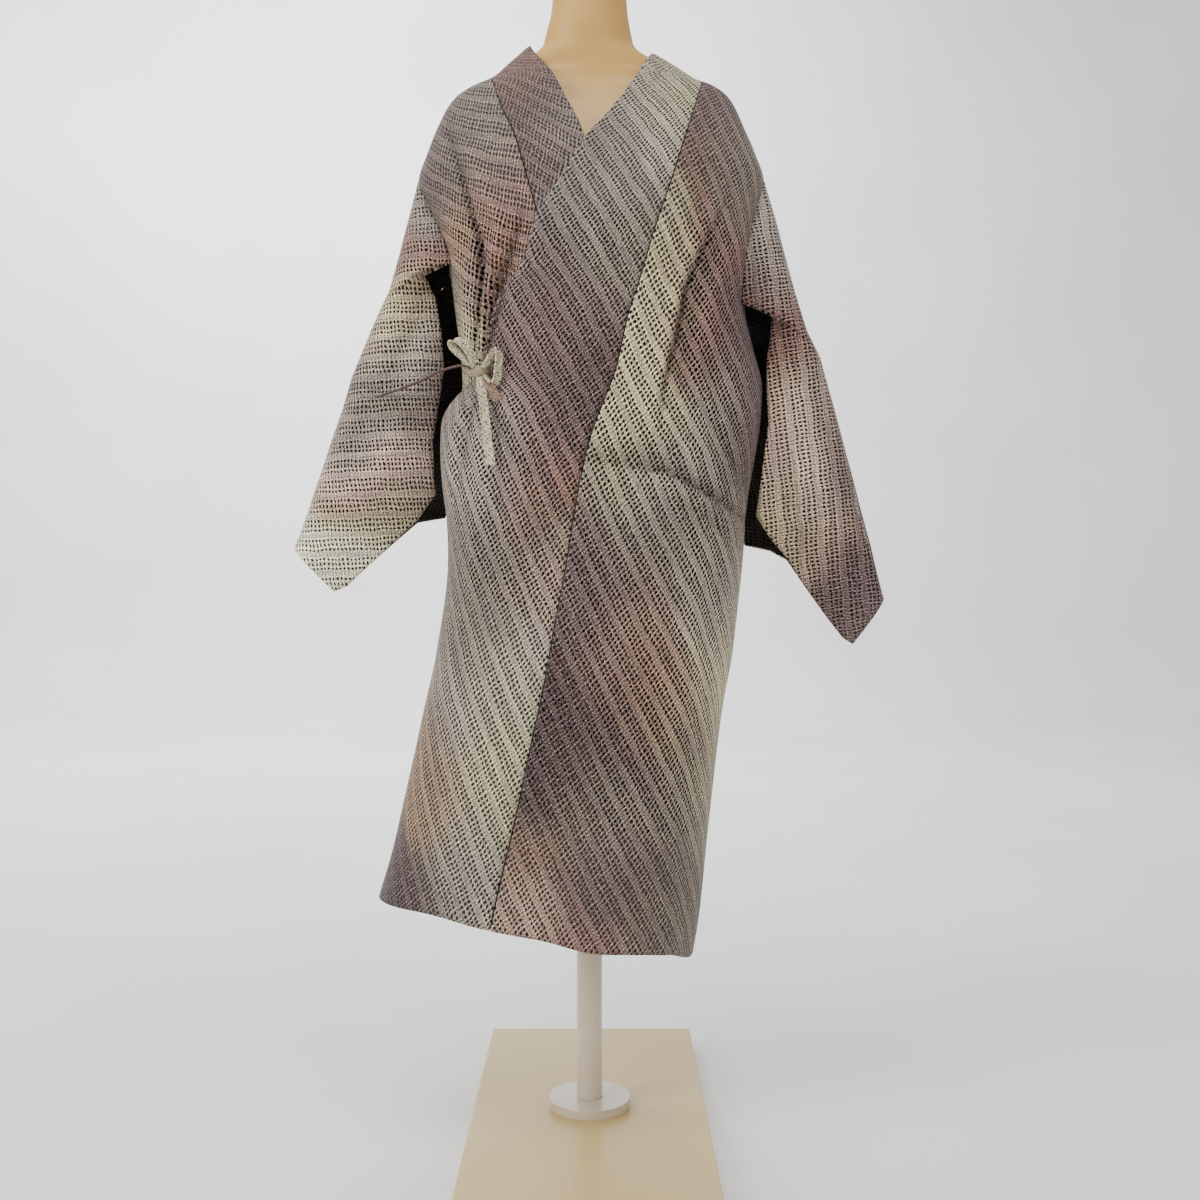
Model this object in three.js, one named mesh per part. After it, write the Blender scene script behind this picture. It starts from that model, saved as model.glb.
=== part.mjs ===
import * as THREE from "three";
import { mergeVertices } from "three/addons/utils/BufferGeometryUtils.js";

// Kimono coat on a limbless dress form. Millimetres, +Z up.
// The coat's front faces -Y and +X is the wearer's left.
const WALL = 1.5;
const SEAM_HALF = 0.2;
const LAP_LIFT = 2.9;
const LAP_RAMP = 26;
const MID_X = 5;

// Sections of the coat's body: height, left and right reach, the top layer's left reach, depth to the front
// and back, and the power of the section curve (2 is an ellipse, more is squarer).
const SECTIONS = [
  { z: 1200, left: -60, right: 52, lapLeft: -60, front: 12, back: 44, power: 2.0 },
  { z: 1195, left: -66, right: 59, lapLeft: -66, front: 16, back: 48, power: 2.0 },
  { z: 1186, left: -76, right: 70, lapLeft: -76, front: 24, back: 54, power: 2.0 },
  { z: 1172, left: -91, right: 92, lapLeft: -91, front: 38, back: 62, power: 2.0 },
  { z: 1156, left: -108, right: 115, lapLeft: -108, front: 52, back: 71, power: 2.0 },
  { z: 1150, left: -119, right: 124, lapLeft: -119, front: 57, back: 74, power: 2.0 },
  { z: 1142, left: -137, right: 145, lapLeft: -137, front: 63, back: 78, power: 2.0 },
  { z: 1130, left: -152, right: 157, lapLeft: -152, front: 71, back: 83, power: 2.0 },
  { z: 1100, left: -168, right: 171, lapLeft: -168, front: 87, back: 92, power: 2.0 },
  { z: 1072, left: -179, right: 183, lapLeft: -179, front: 98, back: 97, power: 1.95 },
  { z: 1043, left: -188, right: 192, lapLeft: -188, front: 107, back: 101, power: 1.95 },
  { z: 1010, left: -175, right: 184, lapLeft: -175, front: 112, back: 103, power: 2.1 },
  { z: 978, left: -163, right: 179, lapLeft: -163, front: 114, back: 103, power: 2.2 },
  { z: 947, left: -154, right: 175, lapLeft: -156, front: 114, back: 102, power: 2.25 },
  { z: 904, left: -147, right: 171, lapLeft: -150, front: 112, back: 100, power: 2.25 },
  { z: 860, left: -142, right: 181, lapLeft: -146, front: 110, back: 98, power: 2.2 },
  { z: 820, left: -141, right: 190, lapLeft: -147, front: 108, back: 97, power: 2.15 },
  { z: 773, left: -150, right: 186, lapLeft: -160, front: 112, back: 101, power: 2.15 },
  { z: 720, left: -150, right: 179, lapLeft: -159, front: 114, back: 105, power: 2.2 },
  { z: 673, left: -148, right: 172, lapLeft: -155, front: 114, back: 108, power: 2.2 },
  { z: 629, left: -146, right: 168, lapLeft: -153, front: 113, back: 110, power: 2.2 },
  { z: 529, left: -154, right: 158, lapLeft: -165, front: 111, back: 112, power: 2.2 },
  { z: 463, left: -166, right: 146, lapLeft: -180, front: 110, back: 113, power: 2.2 },
  { z: 384, left: -178, right: 136, lapLeft: -197, front: 110, back: 113, power: 2.2 },
  { z: 308, left: -190, right: 129, lapLeft: -215, front: 110, back: 113, power: 2.2 },
  { z: 255, left: -198, right: 122, lapLeft: -230, front: 110, back: 113, power: 2.2 },
  { z: 190, left: -206, right: 113, lapLeft: -244, front: 110, back: 112, power: 2.2 },
];

// Seams and edges seen from the front, x at each height.
const TOP_SEAM = [
  { z: 1150, x: 124 }, { z: 1100, x: 110 }, { z: 1056, x: 97 }, { z: 1020, x: 86 }, { z: 957, x: 65 },
  { z: 900, x: 48 }, { z: 880, x: 41 }, { z: 820, x: 27 }, { z: 749, x: 1 }, { z: 677, x: -14 },
  { z: 621, x: -23 }, { z: 577, x: -31 }, { z: 506, x: -44 }, { z: 441, x: -58 }, { z: 374, x: -72 },
  { z: 303, x: -89 }, { z: 250, x: -100 }, { z: 190, x: -112 },
];
const TOP_EDGE = [
  { z: 1186, x: 70 }, { z: 1160, x: 59 }, { z: 1124, x: 42 }, { z: 1086, x: 17 }, { z: 1058, x: -4 },
  { z: 1020, x: -26 }, { z: 982, x: -50 }, { z: 931, x: -67 }, { z: 904, x: -90 }, { z: 879, x: -100 },
  { z: 850, x: -108 }, { z: 826, x: -113 }, { z: 700, x: -140 },
];
const UNDER_SEAM = [
  { z: 1156, x: -108 }, { z: 1101, x: -91 }, { z: 1071, x: -78 }, { z: 1030, x: -66 }, { z: 1004, x: -59 },
  { z: 984, x: -53 }, { z: 947, x: -42 }, { z: 904, x: -30 }, { z: 820, x: -15 }, { z: 700, x: -5 },
  { z: 600, x: 0 }, { z: 400, x: 5 }, { z: 190, x: 5 },
];
const UNDER_EDGE = [
  { z: 1195, x: -66 }, { z: 1179, x: -59 }, { z: 1144, x: -39 }, { z: 1109, x: -24 }, { z: 1079, x: -10 },
  { z: 1058, x: -3 }, { z: 1000, x: 30 }, { z: 950, x: 52 }, { z: 904, x: 74 }, { z: 850, x: 98 },
  { z: 820, x: 106 }, { z: 700, x: 106 }, { z: 600, x: 100 }, { z: 500, x: 94 }, { z: 400, x: 86 },
  { z: 300, x: 78 }, { z: 190, x: 70 },
];
const HEM_FRONT = [
  { x: -250, z: 264 }, { x: -228, z: 262 }, { x: -160, z: 256 }, { x: -105, z: 246 }, { x: -45, z: 236 },
  { x: 5, z: 224 }, { x: 40, z: 222 }, { x: 80, z: 216 }, { x: 112, z: 203 }, { x: 130, z: 200 },
];
const HEM_BACK = [
  { x: -230, z: 248 }, { x: -150, z: 232 }, { x: 0, z: 214 }, { x: 90, z: 204 }, { x: 130, z: 200 },
];

// Largest folds of the body: path in x and z on the front or back face, half width, and height off the cloth
// (negative is a trough).
const FOLDS = [
  {
    face: "front", width: 15, rise: 5,
    path: [[132, 990], [118, 960], [101, 921], [93, 880], [84, 830], [76, 766]],
  },
  {
    face: "front", width: 13, rise: -5,
    path: [[112, 985], [98, 950], [84, 910], [74, 860], [66, 800], [60, 750]],
  },
  { face: "front", width: 13, rise: 4.5, path: [[12, 722], [60, 712], [105, 700], [150, 668]] },
  { face: "front", width: 13, rise: -4, path: [[20, 700], [66, 688], [108, 676], [140, 652]] },
  { face: "front", width: 12, rise: 4, path: [[-96, 888], [-112, 858], [-124, 826]] },
  { face: "back", width: 18, rise: 5, path: [[-110, 960], [-88, 900], [-60, 820], [-50, 760]] },
  { face: "back", width: 18, rise: -5, path: [[90, 930], [70, 860], [52, 800], [40, 700]] },
  { face: "back", width: 20, rise: 5, path: [[150, 760], [90, 710], [20, 690]] },
];

// Rows of the grids. The top rows share the way down from a piece's top edge to the chest line.
const CHEST = 1100;
const TOP_SHARES = [0, 0.18, 0.4, 0.68, 1];
const ARMHOLE_TOP = 1043;
const ARMPIT_RIGHT = 947;
const ARMPIT_LEFT = 904;
const CHEST_ROWS = [1072, 1043, 1010, 978, 947, 904, 862, 822];
const SKIRT_SHARES = [0.09, 0.18, 0.27, 0.36, 0.46, 0.57, 0.68, 0.79, 0.9, 1];

// Rows of a sleeve below its armhole, seen from the front: the body-side edge of the front and of the back
// layer and the outer fold, with the bulge of each layer. Depth y is positive to the back.
const RIGHT_SLEEVE = [
  { fx: -178, fy: -24, fz: 936, bx: -141, by: 66, bz: 922, ox: -221, oz: 905, bulge: 12 },
  { fx: -166, fy: -28, fz: 911, bx: -139, by: 68, bz: 890, ox: -235, oz: 879, bulge: 13 },
  { fx: -160, fy: -28, fz: 875, bx: -140, by: 68, bz: 855, ox: -248, oz: 853, bulge: 14 },
  { fx: -157, fy: -27, fz: 836, bx: -142, by: 68, bz: 815, ox: -260, oz: 829, bulge: 15 },
  { fx: -163, fy: -26, fz: 796, bx: -148, by: 68, bz: 775, ox: -272, oz: 795, bulge: 15 },
  { fx: -170, fy: -24, fz: 757, bx: -152, by: 64, bz: 735, ox: -284, oz: 761, bulge: 15 },
  { fx: -169, fy: -21, fz: 714, bx: -157, by: 54, bz: 700, ox: -300, oz: 714, bulge: 14 },
  { fx: -168, fy: -14, fz: 700, bx: -164, by: 38, bz: 677, ox: -309, oz: 688, bulge: 13 },
  { fx: -190, fy: -2, fz: 672, bx: -190, by: 3, bz: 670, ox: -315, oz: 671, bulge: 13 },
  { fx: -211, fy: -2, fz: 653, bx: -211, by: 2, bz: 652, ox: -319, oz: 659, bulge: 13 },
  { fx: -244, fy: -2, fz: 623, bx: -244, by: 2, bz: 623, ox: -323, oz: 650, bulge: 13 },
  { fx: -268, fy: -2, fz: 600, bx: -268, by: 2, bz: 600, ox: -325, oz: 645, bulge: 13 },
  { fx: -282, fy: -2, fz: 594, bx: -282, by: 2, bz: 594, ox: -326, oz: 641, bulge: 13 },
];
const LEFT_SLEEVE = [
  { fx: 203, fy: -24, fz: 893, bx: 168, by: 68, bz: 880, ox: 254, oz: 850, bulge: 12 },
  { fx: 204, fy: -28, fz: 872, bx: 167, by: 70, bz: 850, ox: 261, oz: 825, bulge: 13 },
  { fx: 198, fy: -28, fz: 845, bx: 168, by: 72, bz: 820, ox: 269, oz: 797, bulge: 14 },
  { fx: 197, fy: -27, fz: 814, bx: 168, by: 72, bz: 785, ox: 278, oz: 764, bulge: 15 },
  { fx: 194, fy: -26, fz: 775, bx: 168, by: 70, bz: 745, ox: 288, oz: 727, bulge: 15 },
  { fx: 187, fy: -23, fz: 719, bx: 168, by: 64, bz: 700, ox: 300, oz: 682, bulge: 15 },
  { fx: 182, fy: -16, fz: 676, bx: 176, by: 42, bz: 646, ox: 311, oz: 643, bulge: 14 },
  { fx: 201, fy: -3, fz: 650, bx: 200, by: 8, bz: 639, ox: 315, oz: 626, bulge: 13 },
  { fx: 218, fy: -2, fz: 631, bx: 218, by: 3, bz: 629, ox: 318, oz: 613, bulge: 13 },
  { fx: 239, fy: -2, fz: 598, bx: 239, by: 2, bz: 598, ox: 321, oz: 602, bulge: 13 },
  { fx: 262, fy: -2, fz: 566, bx: 262, by: 2, bz: 566, ox: 323, oz: 594, bulge: 13 },
  { fx: 280, fy: -2, fz: 543, bx: 280, by: 2, bz: 543, ox: 324, oz: 590, bulge: 13 },
  { fx: 291, fy: -2, fz: 536, bx: 291, by: 2, bz: 536, ox: 325, oz: 587, bulge: 13 },
];
const RIGHT_FOLD = [{ z: 1043, x: -189 }, { z: 1010, x: -197 }, { z: 978, x: -205 }, { z: 947, x: -213 }];
const LEFT_FOLD = [
  { z: 1043, x: 193 }, { z: 1010, x: 204 }, { z: 978, x: 214 }, { z: 947, x: 225 }, { z: 904, x: 240 },
];
const FOLD_DROP = 26;
const CUFF_SLIT_ROWS = 8;

// The tie's ribbons: centre line points and the way the flat side faces.
const RIBBON_WIDTH = 10;
const RIBBON_THICK = 2.2;
const KNOT = { x: -113, y: -86.8, z: 822, wide: 11, deep: 6.5, tall: 9 };

// The dress form: height, half width and depths of the torso, the shoulders follow the coat.
const FORM_TORSO = [
  { z: 505, half: 30, front: 30, back: 30 }, { z: 508, half: 96, front: 70, back: 74 },
  { z: 520, half: 106, front: 80, back: 84 }, { z: 600, half: 116, front: 88, back: 90 },
  { z: 700, half: 108, front: 84, back: 82 }, { z: 800, half: 96, front: 76, back: 70 },
  { z: 900, half: 104, front: 84, back: 72 }, { z: 980, half: 116, front: 90, back: 76 },
  { z: 1050, half: 132, front: 80, back: 74 }, { z: 1095, half: 150, front: 60, back: 66 },
];
const SHOULDER_ROWS = [
  { z: 1118, gap: 5 }, { z: 1130, gap: 4 }, { z: 1140, gap: 3 }, { z: 1150, gap: 4.2 }, { z: 1158, gap: 1.9 },
  { z: 1165, gap: 0.9 },
];
const NECK_ROWS = [
  { z: 1178, x: -1, half: 68, front: 34, back: 42 }, { z: 1190, x: -1, half: 52, front: 38, back: 44 },
  { z: 1206, x: -1, half: 47, front: 40, back: 44 }, { z: 1230, x: 0, half: 42, front: 39, back: 41 },
  { z: 1262, x: 0, half: 40, front: 39, back: 39 },
];
const CAP = { radius: 41, tall: 10, z: 1262.4 };
const POLE = { radius: 14, bottom: 35.3, top: 504.7 };
const FLANGE = { radius: 45, tall: 10 };
const BOARD = { wide: 256, long: 500, thick: 25, bevel: 2 };

const COLOURS = {
  mauve: 0x7d6969, pink: 0xa58778, sage: 0xb9b496, cream: 0xf0d2a0, board: 0xd8c09a, steel: 0xc9c2b4,
};

function smooth(t) {
  const c = Math.min(1, Math.max(0, t));
  return c * c * (3 - 2 * c);
}

// Value of one column at a key, smooth between rows and without overshoot.
function read(table, key, column, at) {
  const down = table[0][key] > table[table.length - 1][key];
  const rows = down ? [...table].reverse() : table;
  if (at <= rows[0][key]) return rows[0][column];
  if (at >= rows[rows.length - 1][key]) return rows[rows.length - 1][column];
  let i = 0;
  while (rows[i + 1][key] < at) i += 1;
  const slope = (k) => (rows[k + 1][column] - rows[k][column]) / (rows[k + 1][key] - rows[k][key]);
  const tangent = (k) => {
    if (k === 0) return slope(0);
    if (k === rows.length - 1) return slope(k - 1);
    const a = slope(k - 1);
    const b = slope(k);
    return a * b <= 0 ? 0 : (2 * a * b) / (a + b);
  };
  const h = rows[i + 1][key] - rows[i][key];
  const t = (at - rows[i][key]) / h;
  const t2 = t * t;
  const t3 = t2 * t;
  return (2 * t3 - 3 * t2 + 1) * rows[i][column] + (t3 - 2 * t2 + t) * h * tangent(i)
    + (-2 * t3 + 3 * t2) * rows[i + 1][column] + (t3 - t2) * h * tangent(i + 1);
}

const section = (column, z) => read(SECTIONS, "z", column, z);
const edgeX = (table, z) => read(table, "z", "x", z);

function reach(z, side, top) {
  if (side > 0) return section("right", z) - MID_X;
  return MID_X - section(top ? "lapLeft" : "left", z);
}

// Turn phi around the body: 0 is the front middle, +90 degrees the wearer's left side, 180 the back.
function phiAt(z, x, top = false) {
  const share = Math.min(1, Math.abs(x - MID_X) / reach(z, Math.sign(x - MID_X), top));
  return Math.sign(x - MID_X) * Math.asin(Math.pow(share, section("power", z) / 2));
}

function ring(z, phi, top) {
  const s = Math.sin(phi);
  const c = Math.cos(phi);
  const power = 2 / section("power", z);
  const x = MID_X + Math.sign(s) * reach(z, Math.sign(s), top) * Math.pow(Math.abs(s), power);
  const depth = c > 0 ? -section("front", z) : section("back", z);
  return new THREE.Vector3(x, depth * Math.pow(Math.abs(c), power), z);
}

function pathDistance(path, x, z) {
  let best = Infinity;
  let along = 0;
  for (let i = 0; i < path.length - 1; i += 1) {
    const [ax, az] = path[i];
    const [bx, bz] = path[i + 1];
    const dx = bx - ax;
    const dz = bz - az;
    const t = Math.min(1, Math.max(0, ((x - ax) * dx + (z - az) * dz) / (dx * dx + dz * dz)));
    const d = Math.hypot(x - ax - t * dx, z - az - t * dz);
    if (d < best) {
      best = d;
      along = (i + t) / (path.length - 1);
    }
  }
  return { best, along };
}

// Height of the folds at a point. Where two layers lie together the top one only rises and the lower one
// stays plain.
function foldRise(p, top) {
  let rise = 0;
  const lapped = p.y < 0 ? smooth((edgeX(UNDER_EDGE, p.z) + LAP_RAMP - p.x) / 12) : 0;
  const covered = !top && p.y < 0 && p.x > edgeX(TOP_EDGE, p.z) - 6;
  if (covered) return 0;
  for (const fold of FOLDS) {
    if ((fold.face === "front") !== (p.y < 0)) continue;
    const { best, along } = pathDistance(fold.path, p.x, p.z);
    if (best > 2.6 * fold.width) continue;
    const share = Math.exp(-((best / fold.width) ** 2)) * Math.min(1, 0.35 + 2.6 * along * (1 - along));
    rise += fold.rise * share * (top && fold.rise < 0 ? 1 - lapped : 1);
  }
  return rise * smooth(Math.abs(p.y) / 40);
}

function outward(make, u, v) {
  const step = 0.004;
  const du = make(u + step, v).sub(make(u - step, v));
  const dv = make(u, v + 2).sub(make(u, v - 2));
  return du.cross(dv).normalize();
}

// Turn that moves a point of the ring by half the seam gap.
function slipAt(z, phi) {
  const span = ring(z, phi + 0.01, false).distanceTo(ring(z, phi - 0.01, false)) / 0.02;
  return (1.25 * SEAM_HALF) / Math.max(20, span);
}

// A point of the coat's body. The top layer is lifted off the layer below wherever that one lies under it.
function bodyPoint(phi, z, top) {
  const base = ring(z, phi, top);
  const normal = outward((a, h) => ring(h, a, top), phi, z);
  let lift = foldRise(base, top);
  if (top && Math.cos(phi) > -0.2) {
    lift += LAP_LIFT * smooth((edgeX(UNDER_EDGE, z) + LAP_RAMP + 4 - base.x) / LAP_RAMP);
  }
  return base.addScaledVector(normal, lift);
}

function hemAt(x, back) {
  return read(back ? HEM_BACK : HEM_FRONT, "x", "z", x);
}

// Closed wall from a grid of outer points, normals and a mask of cells.
function wall(grid, keep, flip) {
  const rows = grid.length;
  const cols = grid[0].length;
  const found = new Map();
  const points = [];
  const index = grid.map((row) => row.map(({ p, n }) => {
    const key = `${Math.round(p.x * 50)},${Math.round(p.y * 50)},${Math.round(p.z * 50)}`;
    if (!found.has(key)) {
      found.set(key, points.length);
      points.push({ p, n });
    }
    return found.get(key);
  }));
  const faces = [];
  const add = (a, b, c) => {
    if (a === b || b === c || a === c) return;
    faces.push(flip ? [a, c, b] : [a, b, c]);
  };
  for (let j = 0; j < rows - 1; j += 1) {
    for (let i = 0; i < cols - 1; i += 1) {
      if (keep && !keep(j, i)) continue;
      const a = index[j][i];
      const b = index[j][i + 1];
      const c = index[j + 1][i + 1];
      const d = index[j + 1][i];
      add(a, d, c);
      add(a, c, b);
    }
  }
  const edges = new Set(faces.flatMap(([a, b, c]) => [`${a}_${b}`, `${b}_${c}`, `${c}_${a}`]));
  const count = points.length;
  const out = [];
  for (const [a, b, c] of faces) {
    out.push([a, b, c], [count + a, count + c, count + b]);
    for (const [m, n] of [[a, b], [b, c], [c, a]]) {
      if (edges.has(`${n}_${m}`)) continue;
      out.push([m, count + m, count + n], [m, count + n, n]);
    }
  }
  const flat = [];
  for (const { p } of points) flat.push(p.x, p.y, p.z);
  for (const { p, n } of points) {
    const q = p.clone().addScaledVector(n, -WALL);
    flat.push(q.x, q.y, q.z);
  }
  const geometry = new THREE.BufferGeometry();
  geometry.setAttribute("position", new THREE.Float32BufferAttribute(flat, 3));
  geometry.setIndex(out.flat());
  return geometry;
}

function rowHeights(topZ, bottomZ) {
  const upper = TOP_SHARES.map((w) => topZ + (CHEST - topZ) * w);
  const last = CHEST_ROWS[CHEST_ROWS.length - 1];
  return [...upper, ...CHEST_ROWS, ...SKIRT_SHARES.map((w) => last + (bottomZ - last) * w)];
}

function gridPoint(phi, z, top) {
  return { p: bodyPoint(phi, z, top), n: outward((a, h) => bodyPoint(a, h, top), phi, z) };
}

// Height of the back's top edge where the collar joins, and of the collar's own top edge.
const JOIN_LEFT = 1150;
const JOIN_RIGHT = 1156;
const NAPE_JOIN = 1112;
const NAPE_TOP = 1172;
const NECK_LEFT = 1186;
const NECK_RIGHT = 1195;
const TOP_CLEAR = 1.2;

function napeHeight(phi, side, atShoulder, atNape) {
  const turn = (Math.abs(phi) - Math.PI / 2) / (Math.PI / 2);
  return atShoulder + (atNape - atShoulder) * smooth(turn * 1.15);
}

// Half turn between the side line and an armhole edge, wider to the armpit.
function armholeTurn(z) {
  return 0.12 + 0.2 * smooth((ARMHOLE_TOP - z) / 90);
}

function bodyHalf(side) {
  const seam = side > 0 ? TOP_SEAM : UNDER_SEAM;
  const join = side > 0 ? JOIN_LEFT : JOIN_RIGHT;
  const armpit = side > 0 ? ARMPIT_LEFT : ARMPIT_RIGHT;
  const top = side > 0;
  const frontCols = 9;
  const backCols = 9;
  const cols = [];
  for (let i = 0; i <= frontCols; i += 1) cols.push({ part: "front", u: i / frontCols });
  cols.push({ part: "side", turn: -1 }, { part: "side", turn: 1 });
  for (let i = 0; i <= backCols; i += 1) cols.push({ part: "back", u: i / backCols });
  const sideFirst = frontCols + 1;
  const phiOf = (col, z) => {
    const half = Math.PI / 2;
    if (col.part === "side") return side * (half + (col.turn * SEAM_HALF) / 60);
    const open = armholeTurn(z);
    if (col.part === "front") {
      const seamTurn = phiAt(z, Math.min(edgeX(seam, z), section("right", z)), false);
      const start = seamTurn * side + slipAt(z, seamTurn);
      const ridge = half - SEAM_HALF / 60;
      const from = z > join - TOP_CLEAR - 0.1 ? ridge : Math.min(start, ridge);
      const end = Math.max(half - open, from);
      return side * (from + (end - from) * col.u);
    }
    return side * (half + open + (Math.PI - half - open - SEAM_HALF / 105) * col.u);
  };
  const grids = cols.map((col) => {
    const back = col.part === "back" || (col.part === "side" && col.turn > 0);
    let topZ = join;
    if (col.part === "back") topZ = napeHeight(phiOf(col, 1110), side, join, NAPE_JOIN);
    let hem = 220;
    for (let k = 0; k < 4; k += 1) hem = hemAt(ring(hem, phiOf(col, hem), top).x, back);
    const heights = rowHeights(topZ, hem);
    heights[0] -= TOP_CLEAR;
    return heights;
  });
  const rows = grids[0].map((_, j) =>
    cols.map((col, i) => gridPoint(phiOf(col, grids[i][j]), grids[i][j], top)));
  const fixed = grids[0];
  const keep = (j, i) => {
    const below = fixed[j + 1];
    if (i < sideFirst - 1 || i > sideFirst + 1) return true;
    if (below >= ARMHOLE_TOP - 0.01) return true;
    if (fixed[j] > armpit + 0.01) return false;
    return i !== sideFirst;
  };
  return wall(rows, keep, side < 0);
}

function band(side) {
  const top = side > 0;
  const seam = top ? TOP_SEAM : UNDER_SEAM;
  const neck = top ? NECK_LEFT : NECK_RIGHT;
  const join = top ? JOIN_LEFT : JOIN_RIGHT;
  const half = Math.PI / 2;
  const ridge = half - (SEAM_HALF * 1.2) / 60;
  const cols = 7;
  const ends = (z) => {
    const seamTurn = phiAt(z, edgeX(seam, z), false);
    const outer = z >= join ? ridge : side * seamTurn - slipAt(z, seamTurn);
    let inner = side * phiAt(z, edgeX(top ? TOP_EDGE : UNDER_EDGE, z), top);
    if (top && z < 826) inner += (-half + 0.1 - inner) * smooth((826 - z) / 48);
    return { inner: Math.min(inner, outer), outer: Math.min(outer, ridge) };
  };
  const upper = [0, 0.25, 0.5, 0.75, 1].map((w) => neck + (join - neck) * w);
  const lower = rowHeights(join, 200);
  const rows = [];
  const count = upper.length - 1 + lower.length;
  for (let j = 0; j < count; j += 1) {
    const row = [];
    for (let i = 0; i <= cols; i += 1) {
      let z = j < upper.length ? upper[j] : lower[j - upper.length + 1];
      const place = (h) => {
        const { inner, outer } = ends(h);
        return side * (inner + ((outer - inner) * i) / cols);
      };
      const share = SKIRT_SHARES[j - (count - SKIRT_SHARES.length)];
      if (share !== undefined) {
        const last = CHEST_ROWS[CHEST_ROWS.length - 1];
        let hem = 230;
        for (let k = 0; k < 5; k += 1) hem = hemAt(ring(hem, place(hem), top).x, false) + (top ? 0 : 5);
        z = last + (hem - last) * share;
      }
      row.push(gridPoint(place(z), z, top));
    }
    rows.push(row);
  }
  return wall(rows, null, side < 0);
}

function collarBack() {
  const cols = 20;
  const bands = 3;
  const half = Math.PI / 2;
  const rows = [];
  const gap = (SEAM_HALF * 1.2) / 60;
  for (let j = 0; j <= bands; j += 1) {
    const row = [];
    for (let i = 0; i <= cols; i += 1) {
      const phi = half + gap + ((Math.PI - 2 * gap) * i) / cols;
      const left = phi < Math.PI;
      const turned = left ? phi : 2 * Math.PI - phi;
      const bottom = napeHeight(turned, 1, left ? JOIN_LEFT : JOIN_RIGHT, NAPE_JOIN) + 0.5;
      const topZ = napeHeight(turned, 1, left ? NECK_LEFT : NECK_RIGHT, NAPE_TOP);
      const z = topZ + ((bottom - topZ) * j) / bands;
      row.push(gridPoint(phi, z, false));
    }
    rows.push(row);
  }
  return wall(rows, null, false);
}

// A sleeve: one length of cloth from the front body-side edge over the outer fold to the back body-side edge.
function sleeve(side) {
  const table = side > 0 ? LEFT_SLEEVE : RIGHT_SLEEVE;
  const fold = side > 0 ? LEFT_FOLD : RIGHT_FOLD;
  const heights = CHEST_ROWS.filter((z) => z <= ARMHOLE_TOP && z >= (side > 0 ? ARMPIT_LEFT : ARMPIT_RIGHT));
  const half = Math.PI / 2;
  const chain = heights.map((z, k) => {
    const open = armholeTurn(z);
    const f = bodyPoint(side * (half - open), z, side > 0);
    const b = bodyPoint(side * (half + open), z, side > 0);
    const drop = FOLD_DROP * smooth(k / (heights.length - 1));
    const o = new THREE.Vector3(edgeX(fold, z), 0, z - (k === 0 ? 0.6 : drop));
    const out = side * (k === 0 ? 0.1 : 0.45);
    const down = k === 0 ? 0.5 : 0;
    f.x += out;
    b.x += out;
    f.z -= down;
    b.z -= down;
    return { f, b, o, bulge: 12 * smooth(k / 2) };
  });
  for (const row of table) {
    chain.push({
      f: new THREE.Vector3(row.fx, row.fy, row.fz),
      b: new THREE.Vector3(row.bx, row.by, row.bz),
      o: new THREE.Vector3(row.ox, 0, row.oz),
      bulge: row.bulge,
    });
  }
  const sample = (column, t) => {
    const i = Math.min(chain.length - 2, Math.max(0, Math.floor(t)));
    const w = t - i;
    const a = chain[i];
    const b = chain[i + 1];
    if (column === "bulge") return a.bulge + (b.bulge - a.bulge) * w;
    return a[column].clone().lerp(b[column], w);
  };
  const point = (turn, t) => {
    const f = sample("f", t);
    const b = sample("b", t);
    const o = sample("o", t);
    const bulge = sample("bulge", t);
    const inner = turn < half ? f : b;
    const p = inner.clone().lerp(o, Math.sin(turn));
    p.y = o.y + (inner.y - o.y) * Math.abs(Math.cos(turn)) - bulge * Math.sin(2 * turn);
    return p;
  };
  const normal = (turn, t) => {
    const du = point(turn + 0.01, t).sub(point(turn - 0.01, t));
    const low = Math.max(0, t - 0.3);
    const high = Math.min(chain.length - 1, t + 0.3);
    return du.cross(point(turn, low).sub(point(turn, high))).normalize().multiplyScalar(side);
  };
  const cols = 12;
  const rows = chain.map((_, t) => {
    const row = [];
    for (let i = 0; i <= cols; i += 1) {
      const turn = (Math.PI * i) / cols;
      row.push({ p: point(turn, t), n: normal(Math.min(Math.PI - 0.02, Math.max(0.02, turn)), t) });
    }
    return row;
  });
  const slit = chain.length - 1 - CUFF_SLIT_ROWS;
  const keep = (j, i) => !(j >= slit && i >= cols / 2 && i < cols / 2 + 2);
  return wall(rows, keep, side < 0);
}

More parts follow.
